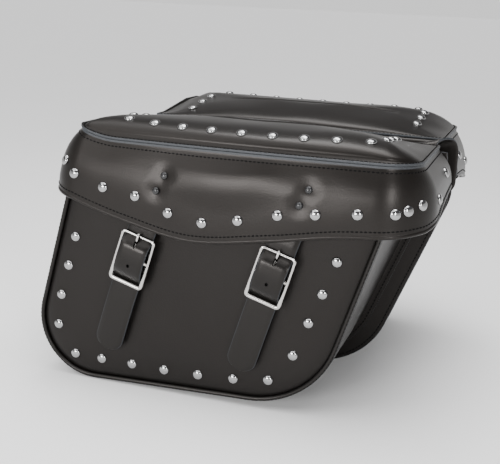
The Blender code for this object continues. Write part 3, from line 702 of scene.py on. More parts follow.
# Share of the flare at each share of the drop, and the drop at each place along the skirt, in metres.
FLARE_CURVE = ((0.0, 0.0), (0.05, 0.10), (0.12, 0.26), (0.20, 0.43), (0.30, 0.61), (0.45, 0.80),
               (0.70, 0.95), (1.0, 1.0))
DROP_CURVE = ((-0.390, 0.050), (-0.290, 0.055), (-0.229, 0.064), (-0.191, 0.079), (-0.123, 0.097),
              (-0.042, 0.111), (0.052, 0.099), (0.129, 0.085), (0.193, 0.078), (0.236, 0.068),
              (0.290, 0.056), (0.390, 0.046))
SIDE_COLUMNS, ARC_COLUMNS, FRONT_COLUMNS = 30, 20, 110
RIVET_NAMES = [(level, place) for place in ("left", "right") for level in ("upper", "lower")]
RIVET_BOXES = [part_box(f"near_rivet_{level}_{place}") for level, place in RIVET_NAMES]
RIVET_PLACES = [((low.x + high.x) / 2 - MIDDLE, (low.z + high.z) / 2) for low, high in RIVET_BOXES]


def skirt_path(left, right, front, radii):
    """Path from the left end round the front to the right end, as (x, depth)."""
    corners = [Vector(c) for c in ((left, FASCIA_BACK), (left, front), (right, front), (right, FASCIA_BACK))]
    first = corner_arc(corners[1], corners[0], corners[2], radii[0], ARC_COLUMNS)
    second = corner_arc(corners[2], corners[1], corners[3], radii[1], ARC_COLUMNS)
    path = [corners[0].lerp(first[0], step / SIDE_COLUMNS) for step in range(SIDE_COLUMNS)]
    path += first[:-1]
    path += [first[-1].lerp(second[0], step / FRONT_COLUMNS) for step in range(FRONT_COLUMNS)]
    path += second[:-1]
    path += [second[-1].lerp(corners[3], step / SIDE_COLUMNS) for step in range(SIDE_COLUMNS + 1)]
    return path


def fascia_plan(spread):
    """Plan of the fascia at a share of its flare."""
    top, grown = LID_HALF - TOP_INSET, FLARE - LID_FLANGE + TOP_INSET
    left = -(top + (grown + FLARE_LEFT) * spread)
    right = top + (grown + FLARE_RIGHT) * spread
    front = LID_FRONT - TOP_INSET + grown * spread
    roots = (LID_RADII[3], LID_RADII[2])
    radii = [root + (lower - root) * spread for root, lower in zip(roots, FASCIA_RADII)]
    return [bowed(p, max(-left, right)) for p in skirt_path(left, right, front, radii)]


def developed(point):
    """Place along the skirt as if it were unrolled flat."""
    aside = max(0.0, LID_FRONT - 22.5 * MM - point.y)
    return point.x + math.copysign(aside, point.x)


ROOT_PLAN = fascia_plan(0.0)
DROPS = [smooth_curve(DROP_CURVE, developed(p)) for p in ROOT_PLAN]


def fascia_swell(x, z):
    """How far the front of the fascia stands out or in from its plain section."""
    swell = 2.2 * MM * bump(math.hypot((x + 15 * MM) * 0.45, z - 292 * MM), 42 * MM)
    swell += 0.9 * MM * noise.noise(Vector((x * 16, z * 22, 1.0)))
    for rivet_x, rivet_z in RIVET_PLACES:
        away = math.hypot(x - rivet_x, z - rivet_z)
        swell -= 1.5 * MM * bump(away, 20 * MM) + 1.0 * MM * bump(away, 8 * MM)
    return swell


def heading(path, i):
    """Direction of a path at one of its points, not normalised."""
    return path[min(i + 1, len(path) - 1)] - path[max(i - 1, 0)]


def facing_out(normal, point):
    """The normal, turned so that it points away from the inside of the bag."""
    return normal if normal.dot(Vector((point.x, point.y - 0.12, 0.0))) > 0 else -normal


def fascia_height(p, drop, share):
    """Height of a point at a share of the drop; the lifted corner fades out down the skirt."""
    return FASCIA_TOP - LEATHER - drop * share + corner_lift(p.x, p.y) * max(0.0, 1 - share / 0.6) ** 1.5


def fascia_row(share):
    """One row of points at a share of the drop."""
    plan = fascia_plan(smooth_curve(FLARE_CURVE, share))
    row = []
    for i, (p, drop) in enumerate(zip(plan, DROPS)):
        along = heading(plan, i).normalized()
        out = Vector((along.y, -along.x))
        out = -out if out.dot(Vector((p.x, p.y - 0.1))) < 0 else out
        z = fascia_height(p, drop, share)
        facing = max(0.0, out.y) * min(1.0, share * 5, (1 - share) * drop / (14 * MM))
        reach = fascia_swell(p.x, z) * max(facing, 0.0)
        row.append(Vector((p.x + out.x * reach, p.y + out.y * reach, z)))
    return row


print("fascia columns:", len(ROOT_PLAN), " deepest drop:", round(max(DROPS) * 1000), "mm")

# %% Fascia skins with their hems
HEM_UP = 9.0 * MM                   # the stitches' way up from the lower edge
HEM_RISE = 2.4 * MM                 # the rolled hem's way up
HEM_SIZES = (2.1 * MM, 2.6 * MM)
SHARES = [-0.018, 0.0, 0.02, 0.045, 0.07] + [0.1 + 0.025 * step for step in range(35)] + [0.985, 1.0]


def outward_along(path, rising):
    """Outward directions along a row, from a vector up the surface at each of its points."""
    return [facing_out(heading(path, i).cross(up).normalized(), path[i]) for i, up in enumerate(rising)]


def hem_rows():
    """Points on the surface a fixed way up from the lower edge, and their outward directions."""
    low = fascia_row(1.0)
    high = fascia_row(0.86)
    path = [a.lerp(b, min(1.0, HEM_UP / (b - a).length)) for a, b in zip(low, high)]
    return low, path, outward_along(path, [b - a for a, b in zip(low, high)])


def seam_row():
    """Points and outward directions of the stitches just under the raised seam."""
    path, below = fascia_row(0.055), fascia_row(0.09)
    return path, outward_along(path, [a - b for a, b in zip(path, below)])


def fascia(side):
    """The skirt, its rolled hem and its two rows of stitches."""
    skin = Skin()
    rows = lid_plan_rim() + [fascia_row(share) for share in SHARES]
    skin.grid(rows[:2])
    skin.grid(rows[1:4], 1)
    skin.grid(rows[3:])
    piece = skin.build(side, "fascia_skin", [lid_leather, edge_dye_and_highlight], merge=WELD)
    orient(piece, side)
    thicken(piece, LEATHER, rim=1)
    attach(piece, f"{side}_lid")
    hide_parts(f"{side}_lid_fascia")
    low, path, outward = hem_rows()
    rolled = Skin()
    lifted = [point + out * 0.2 * MM + Vector((0, 0, HEM_RISE)) for point, out in zip(low, outward)]
    centre = [point - out * 1.4 * MM for point, out in zip(lifted, outward)]
    bead(rolled, centre, outward, HEM_SIZES, 14)
    rim = rolled.build(side, "fascia_rim", [lid_leather])
    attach(rim, f"{side}_lid")
    sewn = Skin()
    stitches(sewn, [p + out * 0.2 * MM for p, out in zip(path, outward)], outward)
    path, outward = seam_row()
    stitches(sewn, path, outward)
    seam = sewn.build(side, "fascia_thread", [thread])
    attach(seam, f"{side}_lid")


def lid_plan_rim():
    """Two rows of the fascia's turned top edge, under the raised seam."""
    rows = []
    for distance in (7.0 * MM, 0.8 * MM):
        half = LID_HALF - distance
        radii = [radius - distance for radius in (LID_RADII[3], LID_RADII[2])]
        path = skirt_path(-half, half, LID_FRONT - distance, radii)
        rows.append([Vector((*bowed(p, half), FASCIA_TOP + corner_lift(p.x, p.y))) for p in path])
    return rows


def orient(piece, side):
    """Make an open skin's faces point away from the middle of its bag."""
    mesh = piece.data
    middle = at(side, (0.0, 0.11, 0.26))
    total = sum(face.normal.dot(face.center - middle) * face.area for face in mesh.polygons)
    if total < 0:
        mesh.flip_normals()


def thicken(piece, thickness, rim=0):
    """Give an open skin its thickness on the inner side, with softened cut edges."""
    solid = piece.modifiers.new("Thickness", "SOLIDIFY")
    solid.thickness = thickness
    solid.offset = -1.0
    solid.use_even_offset = True
    solid.material_offset_rim = rim
    round_edges(piece, 0.6 * MM)


def round_edges(piece, width):
    """Soften sharp edges."""
    bevel = piece.modifiers.new("Rounding", "BEVEL")
    bevel.width = width
    bevel.segments = 2
    bevel.limit_method = "ANGLE"
    bevel.angle_limit = math.radians(50)


for side in SIDES:
    fascia(side)
print("fascias done")

# %% Studs and rivets of the fascia
FASCIA_STUDS = ((-251, 70, 301), (-248, 118, 297), (-243, 165, 294), (-228, 209, 291), (-212.7, 221, 279.1),
                (-171.2, 225, 266.3), (-124.8, 227, 260.3), (-81.7, 229.6, 244.3), (-35.2, 230.5, 237.5),
                (11.8, 230.5, 245.7), (59.4, 229.4, 257.6), (105.2, 228.2, 263.5), (152.1, 226.3, 269),
                (193.9, 224.1, 272.5), (215, 217.2, 276.4), (227.1, 202.6, 281.7), (232.8, 149.4, 281.2),
                (227.7, 74.2, 300.7))
RIVET_HEAD = (4.6 * MM, 3.0 * MM)   # radius and height
SHANK_SIZES = (1.6 * MM, 1.6 * MM)
WASHER_SIZES = (3.0 * MM, 3.0 * MM)


def fascia_point(column, up):
    """Point and outward direction on the fascia, in one column, a way up from its lower edge."""
    drop = DROPS[column]
    share = 1.0 - up / drop
    spread = smooth_curve(FLARE_CURVE, share)
    here, above = fascia_plan(spread), fascia_plan(smooth_curve(FLARE_CURVE, share - 0.06))
    p, q = here[column], above[column]
    along = heading(here, column)
    z = fascia_height(p, drop, share)
    swell = fascia_swell(p.x, z) if abs(p.x) < 190 * MM else 0.0
    rise = Vector((q.x - p.x, q.y - p.y, drop * 0.06))
    normal = Vector((along.x, along.y, 0.0)).cross(rise).normalized()
    return Vector((p.x, p.y + swell, z)), facing_out(normal, p)


def fascia_studs(side):
    skin = Skin()
    plan = fascia_plan(0.9)
    for x, depth, z in FASCIA_STUDS:
        place = Vector((x * MM, depth * MM))
        column = min(range(len(plan)), key=lambda i: (plan[i] - place).length)
        point, normal = fascia_point(column, z * MM - (FASCIA_TOP - LEATHER - DROPS[column]))
        stud(skin, point, normal)
    piece = skin.build(side, "fascia_studs", [chrome])
    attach(piece, f"{side}_lid")


def rivet_heads(side):
    """Each rivet is a low head, a shank through strap and fascia, and a washer behind the strap."""
    for (level, place), (x, z), (_, high) in zip(RIVET_NAMES, RIVET_PLACES, RIVET_BOXES):
        column = min(range(len(ROOT_PLAN)), key=lambda i: abs(ROOT_PLAN[i].x - x) + (ROOT_PLAN[i].y < 0.15))
        point, normal = fascia_point(column, z - (FASCIA_TOP - LEATHER - DROPS[column]))
        skin = Skin()
        stud(skin, Vector((x, point.y + 0.4 * MM, z)), normal, *RIVET_HEAD)
        shank = [Vector((x, depth, z)) for depth in (-high.y, point.y - 1 * MM)]
        bead(skin, shank, (0, 0, 1), SHANK_SIZES, 12)
        washer = [Vector((x, -high.y + step, z)) for step in (0.0, 1.0 * MM)]
        bead(skin, washer, (0, 0, 1), WASHER_SIZES, 16)
        piece = skin.build(side, f"strap_rivet_{level}_{place}", [rivet_black])
        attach(piece, f"{side}_lid")
        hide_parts(f"{side}_rivet_{level}_{place}")


for side in SIDES:
    fascia_studs(side)
    rivet_heads(side)
print("fascia studs:", len(FASCIA_STUDS), " rivets:", len(RIVET_PLACES))

# %% [markdown]
# The front panel is a slanted shape with a large rounded foot, backed by a board, so it stays flat
# in the middle and rolls back at its edges. Rings that shrink towards the middle let the roll follow
# the outline. Around it runs a welt: a band of leather folded over a cord and sewn in the seam.

# %% Outlines of the body
panel_low, panel_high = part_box("near_front_panel")
back_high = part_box("near_back_panel")[1]
BODY_TOP = panel_high.z
BACK_TOP = back_high.z
FRONT_DEPTH = -panel_low.y
BACK_DEPTH = -back_high.y
SHOULDER = 251.0 * MM
WELT = 6.3 * MM
FRONT_CORNERS = ((-0.205, BODY_TOP), (-0.230, SHOULDER), (-0.294, -0.003), (0.113, 0.012), (0.185, SHOULDER),
                 (0.166, BODY_TOP))
FRONT_RADII = (20 * MM, 79 * MM, 120 * MM, 20 * MM)
BACK_CORNERS = ((-0.237, BACK_TOP), (-0.237, SHOULDER), (-0.306, 0.0), (0.136, 0.0), (0.233, SHOULDER),
                (0.226, BACK_TOP))
BACK_RADII = (60 * MM, 85 * MM, 110 * MM, 60 * MM)
FLANGE = 33.0 * MM
SEAM_LAP = 11.0 * MM
BODY_MIDDLE = Vector((-0.045, 0.150))
BACK_MIDDLE = Vector((-0.04, 0.170))


def front_outline(distance, count=220):
    """Open outline of the front panel, from its top left down, round and up, as (x, height)."""
    radii = [max(radius - distance, 2 * MM) for radius in FRONT_RADII]
    return rounded(inset_path(FRONT_CORNERS, distance), radii, count)


def back_outline(distance, count=220, top=None):
    """The same for the back panel, cut off at a height when top is given."""
    corners = [Vector(c) for c in BACK_CORNERS]
    if top is not None:
        corners[0].y = corners[-1].y = top
    radii = [max(BACK_RADII[i] - distance, 2 * MM) if i in (1, 2) else BACK_RADII[i] for i in range(4)]
    return rounded(inset_path(corners, distance), radii, count)


def closed_outline(open_path, top_count=60):
    """Add the straight top edge to an open outline."""
    start, end = open_path[-1], open_path[0]
    return open_path + [start.lerp(end, step / top_count) for step in range(1, top_count)]


def shrunk(outline, centre, distance):
    """Outline drawn in towards the centre by a distance."""
    result = []
    for point in outline:
        away = point - centre
        result.append(centre + away * max(0.0, 1.0 - distance / away.length))
    return result


def inner_ring(outline, centre, distance, depth):
    """A shrunk outline, stood up at a depth."""
    return [(p.x, depth, p.y) for p in shrunk(outline, centre, distance)]


def flat_seam(skin, outline, depth, facing=1):
    """Stitches along an outline on a flat panel."""
    stitches(skin, [Vector((p.x, depth, p.y)) for p in outline], [(0, facing, 0)] * len(outline))


print("front panel at depth", round(FRONT_DEPTH, 4), " back panel at depth", round(BACK_DEPTH, 4))

# %% Front panels
PANEL_PUFF = 1.6 * MM
PANEL_INSIDES = (0.0, 0.5, 1.2, 2.2, 3.5, 5, 7, 9.5, 12.5, 16, 20, 25, 31, 38, 47, 58, 72, 88, 105, 122)


def panel_depth(x, z, inside):
    """Depth of the front panel's face at a way inside its edge."""
    roll = 3.4 * MM * (max(0.0, 1.0 - inside / (20 * MM)) ** 2.4)
    soft = 0.5 * MM * noise.noise(Vector((x * 9, z * 9, 5.0)))
    return FRONT_DEPTH + (PANEL_PUFF + soft) * min(1.0, inside / (35 * MM)) - roll


def front_panel(side):
    outline = closed_outline(front_outline(WELT))
    back = FRONT_DEPTH - LEATHER - 0.2 * MM
    rings = [inner_ring(outline, BODY_MIDDLE, distance, back) for distance in (60 * MM, 8 * MM, 0.4 * MM)]
    for inside in PANEL_INSIDES:
        ring = shrunk(outline, BODY_MIDDLE, inside * MM)
        rings.append([(p.x, panel_depth(p.x, p.y, inside * MM), p.y) for p in ring])
    skin = Skin()
    skin.ring_solid(rings)
    piece = skin.build(side, "front_panel_skin", [panel_leather])
    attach(piece, "bags")
    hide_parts(f"{side}_front_panel")


PANEL_STUDS_LEFT = ((-216, 194), (-226.5, 154), (-237.5, 112), (-242, 70))
PANEL_STUDS_FOOT = ((-217, 32), (-178, 31), (-134, 31), (-88, 31), (-41, 32.5), (7, 35.5), (53, 42))
PANEL_STUDS_RIGHT = ((83, 80), (100, 125), (115, 164), (130, 206))


def panel_studs(side):
    skin = Skin()
    for x, z in PANEL_STUDS_LEFT + PANEL_STUDS_FOOT + PANEL_STUDS_RIGHT:
        depth = panel_depth(x * MM, z * MM, 30 * MM)
        stud(skin, Vector((x * MM, depth - STUD_SINK, z * MM)), (0, 1, 0))
    piece = skin.build(side, "panel_studs", [chrome])
    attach(piece, "bags")


def welt(side):
    """The folded band around the front panel, with its row of stitches."""
    path = [Vector((p.x, FRONT_DEPTH - 2.0 * MM, p.y)) for p in front_outline(WELT / 2)]
    skin = Skin()
    bead(skin, path, (0, 1, 0), (3.4 * MM, WELT / 2 - 0.2 * MM), 16)
    piece = skin.build(side, "front_welt", [strap_leather])
    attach(piece, "bags")
    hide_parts(f"{side}_front_piping")
    sewn = Skin()
    flat_seam(sewn, front_outline(WELT / 2 - 1.5 * MM), FRONT_DEPTH + 0.55 * MM)
    row = sewn.build(side, "front_welt_thread", [thread])
    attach(row, "bags")


for side in SIDES:
    front_panel(side)
    panel_studs(side)
    welt(side)
print("front panels done")

# %% [markdown]
# The gusset is one long strip that makes the bag's two sides and its floor. It has no board, so it
# sags a little between its two seams; at the back it is turned outwards and sewn flat to the
# back panel. It is a loft from the front outline to the back one, thickened inwards.

# %% Gussets
GUSSET_FRONT = -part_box("near_gusset")[0].y
LAP_DEPTH = BACK_DEPTH + 2 * LEATHER + 0.6 * MM
GUSSET_STEPS = 30


def gusset_push(i, share):
    """How far the gusset sags and folds inwards, at a point of its outline and a share of its depth."""
    swing = math.sin(math.pi * share)
    sag = 1.6 * MM * swing * (0.55 + 0.9 * noise.noise(Vector((i * 0.03, share * 2, 9))))
    return sag + 1.2 * MM * noise.noise(Vector((i * 0.11, share * 5, 2))) * swing


def gusset(side):
    skin = Skin()
    count = 200
    front = front_outline(0.0, count)
    seam = back_outline(FLANGE, count, BODY_TOP)
    lap = back_outline(FLANGE - SEAM_LAP, count, BODY_TOP)
    rows = []
    for step in range(GUSSET_STEPS + 1):
        share = step / GUSSET_STEPS
        depth = GUSSET_FRONT + (LAP_DEPTH - GUSSET_FRONT) * share
        row = []
        for i, (a, b) in enumerate(zip(front, seam)):
            point = a.lerp(b, share)
            inward = (BODY_MIDDLE - point).normalized()
            pushed = point + inward * gusset_push(i, share) * min(1.0, (BODY_TOP - point.y) / (30 * MM))
            row.append((pushed.x, depth, pushed.y))
        rows.append(row)
    for share in (0.15, 0.5, 0.9, 1.0):
        rows.append([(a.lerp(b, share).x, LAP_DEPTH, a.lerp(b, share).y) for a, b in zip(seam, lap)])
    skin.grid(rows)
    piece = skin.build(side, "gusset_skin", [panel_leather, edge_dye_and_highlight])
    orient(piece, side)
    thicken(piece, LEATHER - 0.2 * MM, rim=1)
    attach(piece, "bags")
    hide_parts(f"{side}_gusset")
    sewn = Skin()
    line = back_outline(FLANGE - SEAM_LAP * 0.55, count, BODY_TOP - 3 * MM)
    flat_seam(sewn, line, LAP_DEPTH + 0.1 * MM)
    row = sewn.build(side, "gusset_thread", [thread])
    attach(row, "bags")


# (way inside the edge, depth) of the back panel's section, from its rear face over its edge.
BACK_SECTION = ((90, 0.0), (30, 0.0), (3, 0.0), (0.6, 0.1), (0.1, 0.6),
                (0.1, 2.4), (0.6, 2.9), (3, 3.0), (30, 3.0), (90, 3.0))


def back_panel(side):
    outline = closed_outline(back_outline(0.0))
    skin = Skin()
    rings = []
    for distance, depth in BACK_SECTION:
        rings.append(inner_ring(outline, BACK_MIDDLE, distance * MM, BACK_DEPTH + depth * MM))
    count = len(outline)
    skin.grid(rings[:4], 0, around=True)
    skin.grid(rings[3:7], 1, around=True)
    last = skin.grid(rings[6:], 0, around=True) + 3 * count
    skin.cap(range(count - 1, -1, -1))
    skin.cap(range(last, last + count))
    piece = skin.build(side, "back_panel_skin", [panel_leather, edge_dye_and_highlight], merge=WELD)
    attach(piece, "bags")
    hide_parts(f"{side}_back_panel")
    sewn = Skin()
    border = back_outline(5 * MM, 220, BACK_TOP - 5 * MM)
    flat_seam(sewn, border, BACK_DEPTH + LEATHER + 0.1 * MM)
    flat_seam(sewn, border, BACK_DEPTH - 0.1 * MM, -1)
    row = sewn.build(side, "back_panel_thread", [thread])
    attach(row, "bags")


for side in SIDES:
    gusset(side)
    back_panel(side)
print("gussets and back panels done")

# %% [markdown]
# A strap is threaded through its buckle: under the top bar, over the centre bar, under the bottom
# bar and down to a rounded tip. `on_strap` gives a world place from the strap's own axes:
# across it, down its length and out from the panel. The strap is a swept section with soft
# edges, whose width narrows along a half ellipse at the tip.

# %% Strap axes
STRAP_LEAN = math.radians(16.5)
STRAP_PLACES = {"left": (-128 * MM, 180 * MM), "right": (54 * MM, 182 * MM)}
STRAP_HALF = 19.0 * MM
STRAP = 3.2 * MM
# (down, out) of the strap's middle, in millimetres.
STRAP_ROUTE = ((-119, 0.6), (-108, 3.6), (-90, 5.0), (-70, 6.4), (-52, 9.0), (-42, 11.0), (-35, 11.6),
               (-30.5, 11.8), (-26, 14.0), (-21.5, 18.4), (-16.5, 21.2), (-10, 22.3), (0, 23.0),
               (10, 22.4), (17, 20.9), (22.5, 17.6), (27.5, 13.9), (32, 11.8), (37, 11.3), (48, 11.7),
               (62, 12.1), (90, 11.7), (118, 10.6), (134, 10.2))


def on_strap(place, across, down, out):
    """(x, depth, height) from the strap's own axes."""
    x, z = STRAP_PLACES[place]
    lean_x, lean_z = -math.sin(STRAP_LEAN), -math.cos(STRAP_LEAN)
    x, z = x + lean_x * down - lean_z * across, z + lean_z * down + lean_x * across
    return Vector((x, FRONT_DEPTH + out, z))


print("strap middle, left:", [round(v, 4) for v in on_strap("left", 0, 0, 0)])

# %% Straps
STRAP_TIP = 134.0 * MM
TIP_RUN = 17.0 * MM
STRAP_EDGE = 0.9 * MM
CUTS = ((8.5 * MM, 2.0 * MM, 2.4 * MM), (-22.7 * MM, 2.3 * MM, 7.0 * MM))  # (down, half width, half length)
EDGE_FACES = (4, 5, 6, 7, 10, 11, 12, 13)                                  # of each ring's fourteen


def strap_out(down):
    """The middle's distance from the panel."""
    return smooth_curve([(a * MM, b * MM) for a, b in STRAP_ROUTE], down)


def strap_width(down):
    """Half width, narrowed to the rounded tip and a little at the top."""
    tip = max(0.0, (down - (STRAP_TIP - TIP_RUN)) / TIP_RUN)
    top = max(0.0, (-108 * MM - down) / (11 * MM))
    return STRAP_HALF * math.sqrt(max(0.02, 1.0 - tip**2)) - 9 * MM * top


def strap_section(place, down):
    """Ring of points around the strap at one place down its length."""
    step = 0.5 * MM
    slope = (strap_out(down + step) - strap_out(down - step)) / (2 * step)
    normal = Vector((-slope, 1.0)).normalized()
    half, thick = strap_width(down), STRAP / 2
    flat, side, turn = half - STRAP_EDGE, half - 0.2 * MM, thick - 0.4 * MM
    shape = ((-flat, thick), (-half * 0.6, thick + 0.15 * MM), (0, thick + 0.2 * MM),
             (half * 0.6, thick + 0.15 * MM), (flat, thick), (side, turn), (half, 0), (side, -turn),
             (flat, -thick), (0, -thick), (-flat, -thick), (-side, -turn), (-half, 0), (-side, turn))
    return [on_strap(place, across, down + normal.x * rise, strap_out(down) + normal.y * rise)
            for across, rise in shape]


def strap(side, place):
    """The strap, with its hole and its slot for the prong cut out."""
    skin = Skin()
    downs = [-119, -116, -113, -110, -106]
    downs += [-100 + 6 * step for step in range(8)]
    downs += [-52 + 1.5 * step for step in range(68)]
    downs += [52 + 5 * step for step in range(13)]
    downs += [116, 118, 120, 122, 124, 126, 127.8, 129.4, 130.8, 132, 132.9, 133.6, 134]
    rings = [strap_section(place, down * MM) for down in downs]
    skin.ring_solid(rings)
    for i in range(len(rings) - 1):
        for j in EDGE_FACES:
            skin.finish[i * len(rings[0]) + j] = 1
    skin.finish[-2:] = (1, 1)
    piece = skin.build(side, f"strap_{place}_leather", [strap_leather, strap_edge])
    cuts = Skin()
    for down, half_width, half_length in CUTS:
        cuts.ring_solid([[on_strap(place, half_width * math.cos(a), down + half_length * math.sin(a), out)
                          for a in angles(20)] for out in (0.0, 40 * MM)])
    cutter = cuts.build(side, f"strap_{place}_cutter", [edge_dye_and_highlight])
    cut = piece.modifiers.new("Holes", "BOOLEAN")
    cut.operation = "DIFFERENCE"
    cut.solver = "EXACT"
    cut.object = cutter
    depsgraph = bpy.context.evaluated_depsgraph_get()
    done = bpy.data.meshes.new_from_object(piece.evaluated_get(depsgraph))
    piece.modifiers.clear()
    piece.data = done
    bpy.data.objects.remove(cutter, do_unlink=True)
    done.shade_smooth()
    done.set_sharp_from_angle(angle=math.radians(40))
    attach(piece, f"{side}_lid")
    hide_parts(f"{side}_strap_{place}")


for side in SIDES:
    for place in STRAP_PLACES:
        strap(side, place)
print("straps done")

# %% [markdown]
# The buckle is cast: thin top bar, heavier sides that swell towards the bottom bar, and small
# round shoulders where the top bar enters. Its centre bar is hidden under the strap, and on it
# turns the prong, a wire whose tip curls over the top bar.

# %% Buckles and prongs
BUCKLE_HALF_WIDTH = 21.85 * MM
BUCKLE_HALF_HEIGHT = 31.0 * MM
BUCKLE_OUT = 16.0 * MM
BUCKLE_CORNER = 3.6 * MM
BUCKLE_FOOT = 3.2 * MM              # the bottom bar's extra distance from the centre bar
BAR_SIZES = (2.4 * MM, 2.4 * MM)


def buckle(side, place):
    """The frame and its centre bar."""
    w, h = BUCKLE_HALF_WIDTH, BUCKLE_HALF_HEIGHT
    foot = h + BUCKLE_FOOT
    loop = rounded(((-w, -h), (w, -h), (w, foot), (-w, foot)), (BUCKLE_CORNER,) * 4, 128, closed=True)
    path, sizes = [], []
    for p in loop:
        low = (p.y + h) / (foot + h)
        on_top = bump(p.y + h, 3 * MM)
        thick = (1.9 + 0.9 * low) * MM - 0.35 * MM * on_top
        shoulder = 0.7 * MM * bump(math.hypot(abs(p.x) - w + 1 * MM, p.y + h - 1 * MM), 5 * MM)
        path.append(on_strap(place, p.x, p.y, BUCKLE_OUT))
        sizes.append((thick * 0.92 + shoulder, thick + shoulder))
    skin = Skin()
    bead(skin, path, (0, 1, 0), sizes, 14, closed=True)
    bar = [on_strap(place, x, 0, BUCKLE_OUT) for x in (-w + 0.5 * MM, -w / 2, 0, w / 2, w - 0.5 * MM)]
    bead(skin, bar, (0, 1, 0), BAR_SIZES, 14)
    piece = skin.build(side, f"buckle_{place}_frame", [nickel])
    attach(piece, f"{side}_lid")
    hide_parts(f"{side}_buckle_{place}")


# (down, out) of the prong, in millimetres, from its eye to its curled tip.
PRONG_ROUTE = ((-3.6, 15.4), (-9, 15.3), (-15, 15.3), (-19, 15.6), (-22, 16.8), (-24.5, 18.6),
               (-27, 19.8), (-30, 20.2), (-33, 19.9), (-35, 18.4))
PRONG_STEPS = 40
PRONG_TAPER = 33                    # the step from which it narrows to its tip
PRONG_SIZES = (1.35 * MM, 1.7 * MM)
EYE_SECTION = ((-2.0, 2.9), (-2.0, 3.9), (2.0, 3.9), (2.0, 2.9))


def prong(side, place):
    """A wire with a tapered tip, and the eye that turns on the centre bar."""
    skin = Skin()
    line = evened([Vector((down * MM, out * MM)) for down, out in PRONG_ROUTE], PRONG_STEPS)
    path = [on_strap(place, 0, p.x, p.y) for p in line]
    high, wide = PRONG_SIZES
    sizes = [(high * (1 - 0.07 * max(0, i - PRONG_TAPER)), wide) for i in range(PRONG_STEPS)]
    bead(skin, path, (0, 1, 0), sizes, 12)
    rings = []
    for angle in angles(20):
        rings.append([on_strap(place, across * MM, radius * MM * math.cos(angle),
                               BUCKLE_OUT + radius * MM * math.sin(angle)) for across, radius in EYE_SECTION])
    skin.grid(rings, around=True, along=True)
    piece = skin.build(side, f"prong_{place}_wire", [nickel])
    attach(piece, f"{side}_prong_{place}")
    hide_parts(f"{side}_prong_{place}")


for side in SIDES:
    for place in STRAP_PLACES:
        buckle(side, place)
        prong(side, place)
print("buckles done")

# %% [markdown]
# The lid turns on a strip of leather sewn to the back panel. The piece is built in its closed shape and
# is not attached to either body.

# %% Hinge strips and the yoke
YOKE_CORNER = 17.0 * MM
YOKE_BEND = 12.0 * MM
YOKE_END = 0.206                    # the yoke's high end, on its far side
YOKE_SLANT = 0.030                  # how much further that end reaches on the near side
YOKE_STEPS = 120
HINGE_STEPS = 60
# (depth, height) around the folded strip, in millimetres.
HINGE_SECTION = ((25.6, 290), (25.6, 312), (25.8, 318), (26.6, 322), (28.6, 324.4), (31.5, 325.0),
                 (38.0, 325.0), (38.0, 323.0), (31.5, 323.0), (29.6, 321.6), (28.6, 318), (28.4, 312),
                 (28.4, 290))


def hinge_strip(side):
    half = LID_HALF - 10 * MM
    skin = Skin()
    rings = []
    for step in range(HINGE_STEPS + 1):
        x = -half + 2 * half * step / HINGE_STEPS
        rings.append([Vector((x, depth * MM, z * MM)) for depth, z in HINGE_SECTION])
    skin.ring_solid(rings)
    piece = skin.build(side, "hinge_leather", [lid_leather])
    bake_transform(piece)
    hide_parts(f"{side}_hinge_strip")


def yoke():
    """A sheet over the gap between the bags, with a skirt on each side and a curled high end."""
    low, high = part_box("yoke")
    half, bend = high.y, YOKE_BEND
    section = [(half, low.z + (high.z - bend - low.z) * step / 16) for step in range(17)]
    for step in range(1, 9):
        angle = math.pi / 2 * step / 8
        section.append((half - bend + bend * math.cos(angle), high.z - bend + bend * math.sin(angle)))
    section += [(half - bend - (half - bend) * step / 4, high.z) for step in range(1, 5)]
    section += [(-depth, z) for depth, z in reversed(section[:-1])]
    skin = Skin()
    rows = []
    for step in range(YOKE_STEPS + 1):
        share = step / YOKE_STEPS
        curl = max(0.0, (share - 0.88) / 0.12) ** 1.6
        row = []
        for depth, z in section:
            fall = (high.z - z) / (high.z - low.z)
            near = 0.5 - 0.5 * depth / half
            corner = max(0.0, 1.0 - (z - low.z) / YOKE_CORNER)
            cut = YOKE_CORNER * (1.0 - math.sqrt(max(0.0, 1.0 - corner**2)))
            start = low.x - MIDDLE + cut
            end = YOKE_END + YOKE_SLANT * (1.0 - near) + (0.012 * fall if depth < 0 else 0.0) - cut
            flat = max(0.0, 1.0 - (depth / half) ** 2)
            sag = 3.0 * MM * math.sin(math.pi * min(1.0, share / 0.9)) ** 2 * flat
            soft = 0.8 * MM * noise.noise(Vector((share * 9, depth * 30, z * 20)))
            lift = 12 * MM * curl * flat**0.6
            row.append((start + (end - start) * share, -depth, z - sag + soft * flat + lift))
        rows.append(row)
    skin.grid(rows)
    piece = skin.build("near", "yoke_leather", [lid_leather, edge_dye_and_highlight])
    if sum(face.normal.z * face.area for face in piece.data.polygons) < 0:
        piece.data.flip_normals()
    thicken(piece, LEATHER, rim=1)
    piece.name = "yoke_leather"
    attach(piece, "bags")
    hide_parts("yoke")


for side in SIDES:
    hinge_strip(side)
yoke()
print("hinges and yoke done")

# %% [markdown]
# The pieces behind and inside keep their CAD shapes and only take a finish: boards, webbing tabs and
# the two halves of each quick-release clip.

# %% Finishes of the carried-over pieces
for name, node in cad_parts.items():
    if "board" in name:
        finish = fibreboard
    elif "chape" in name:
        finish = webbing
    elif "clip" in name:
        finish = moulded
    else:
        continue
    node.data.materials.clear()
    node.data.materials.append(finish)
print("carried-over pieces finished")

# %% [markdown]
# The stage is a plain pale floor and soft studio light: a wide panel overhead that draws the long
# highlights on the lids, a low one in front that lights the middle of the fascia, a tall narrow one
# on the right for the upright highlight at its corner, a weak fill from the left, and a broad
# ceiling. The camera stands a little above the lids, to the right of the near bag's front.

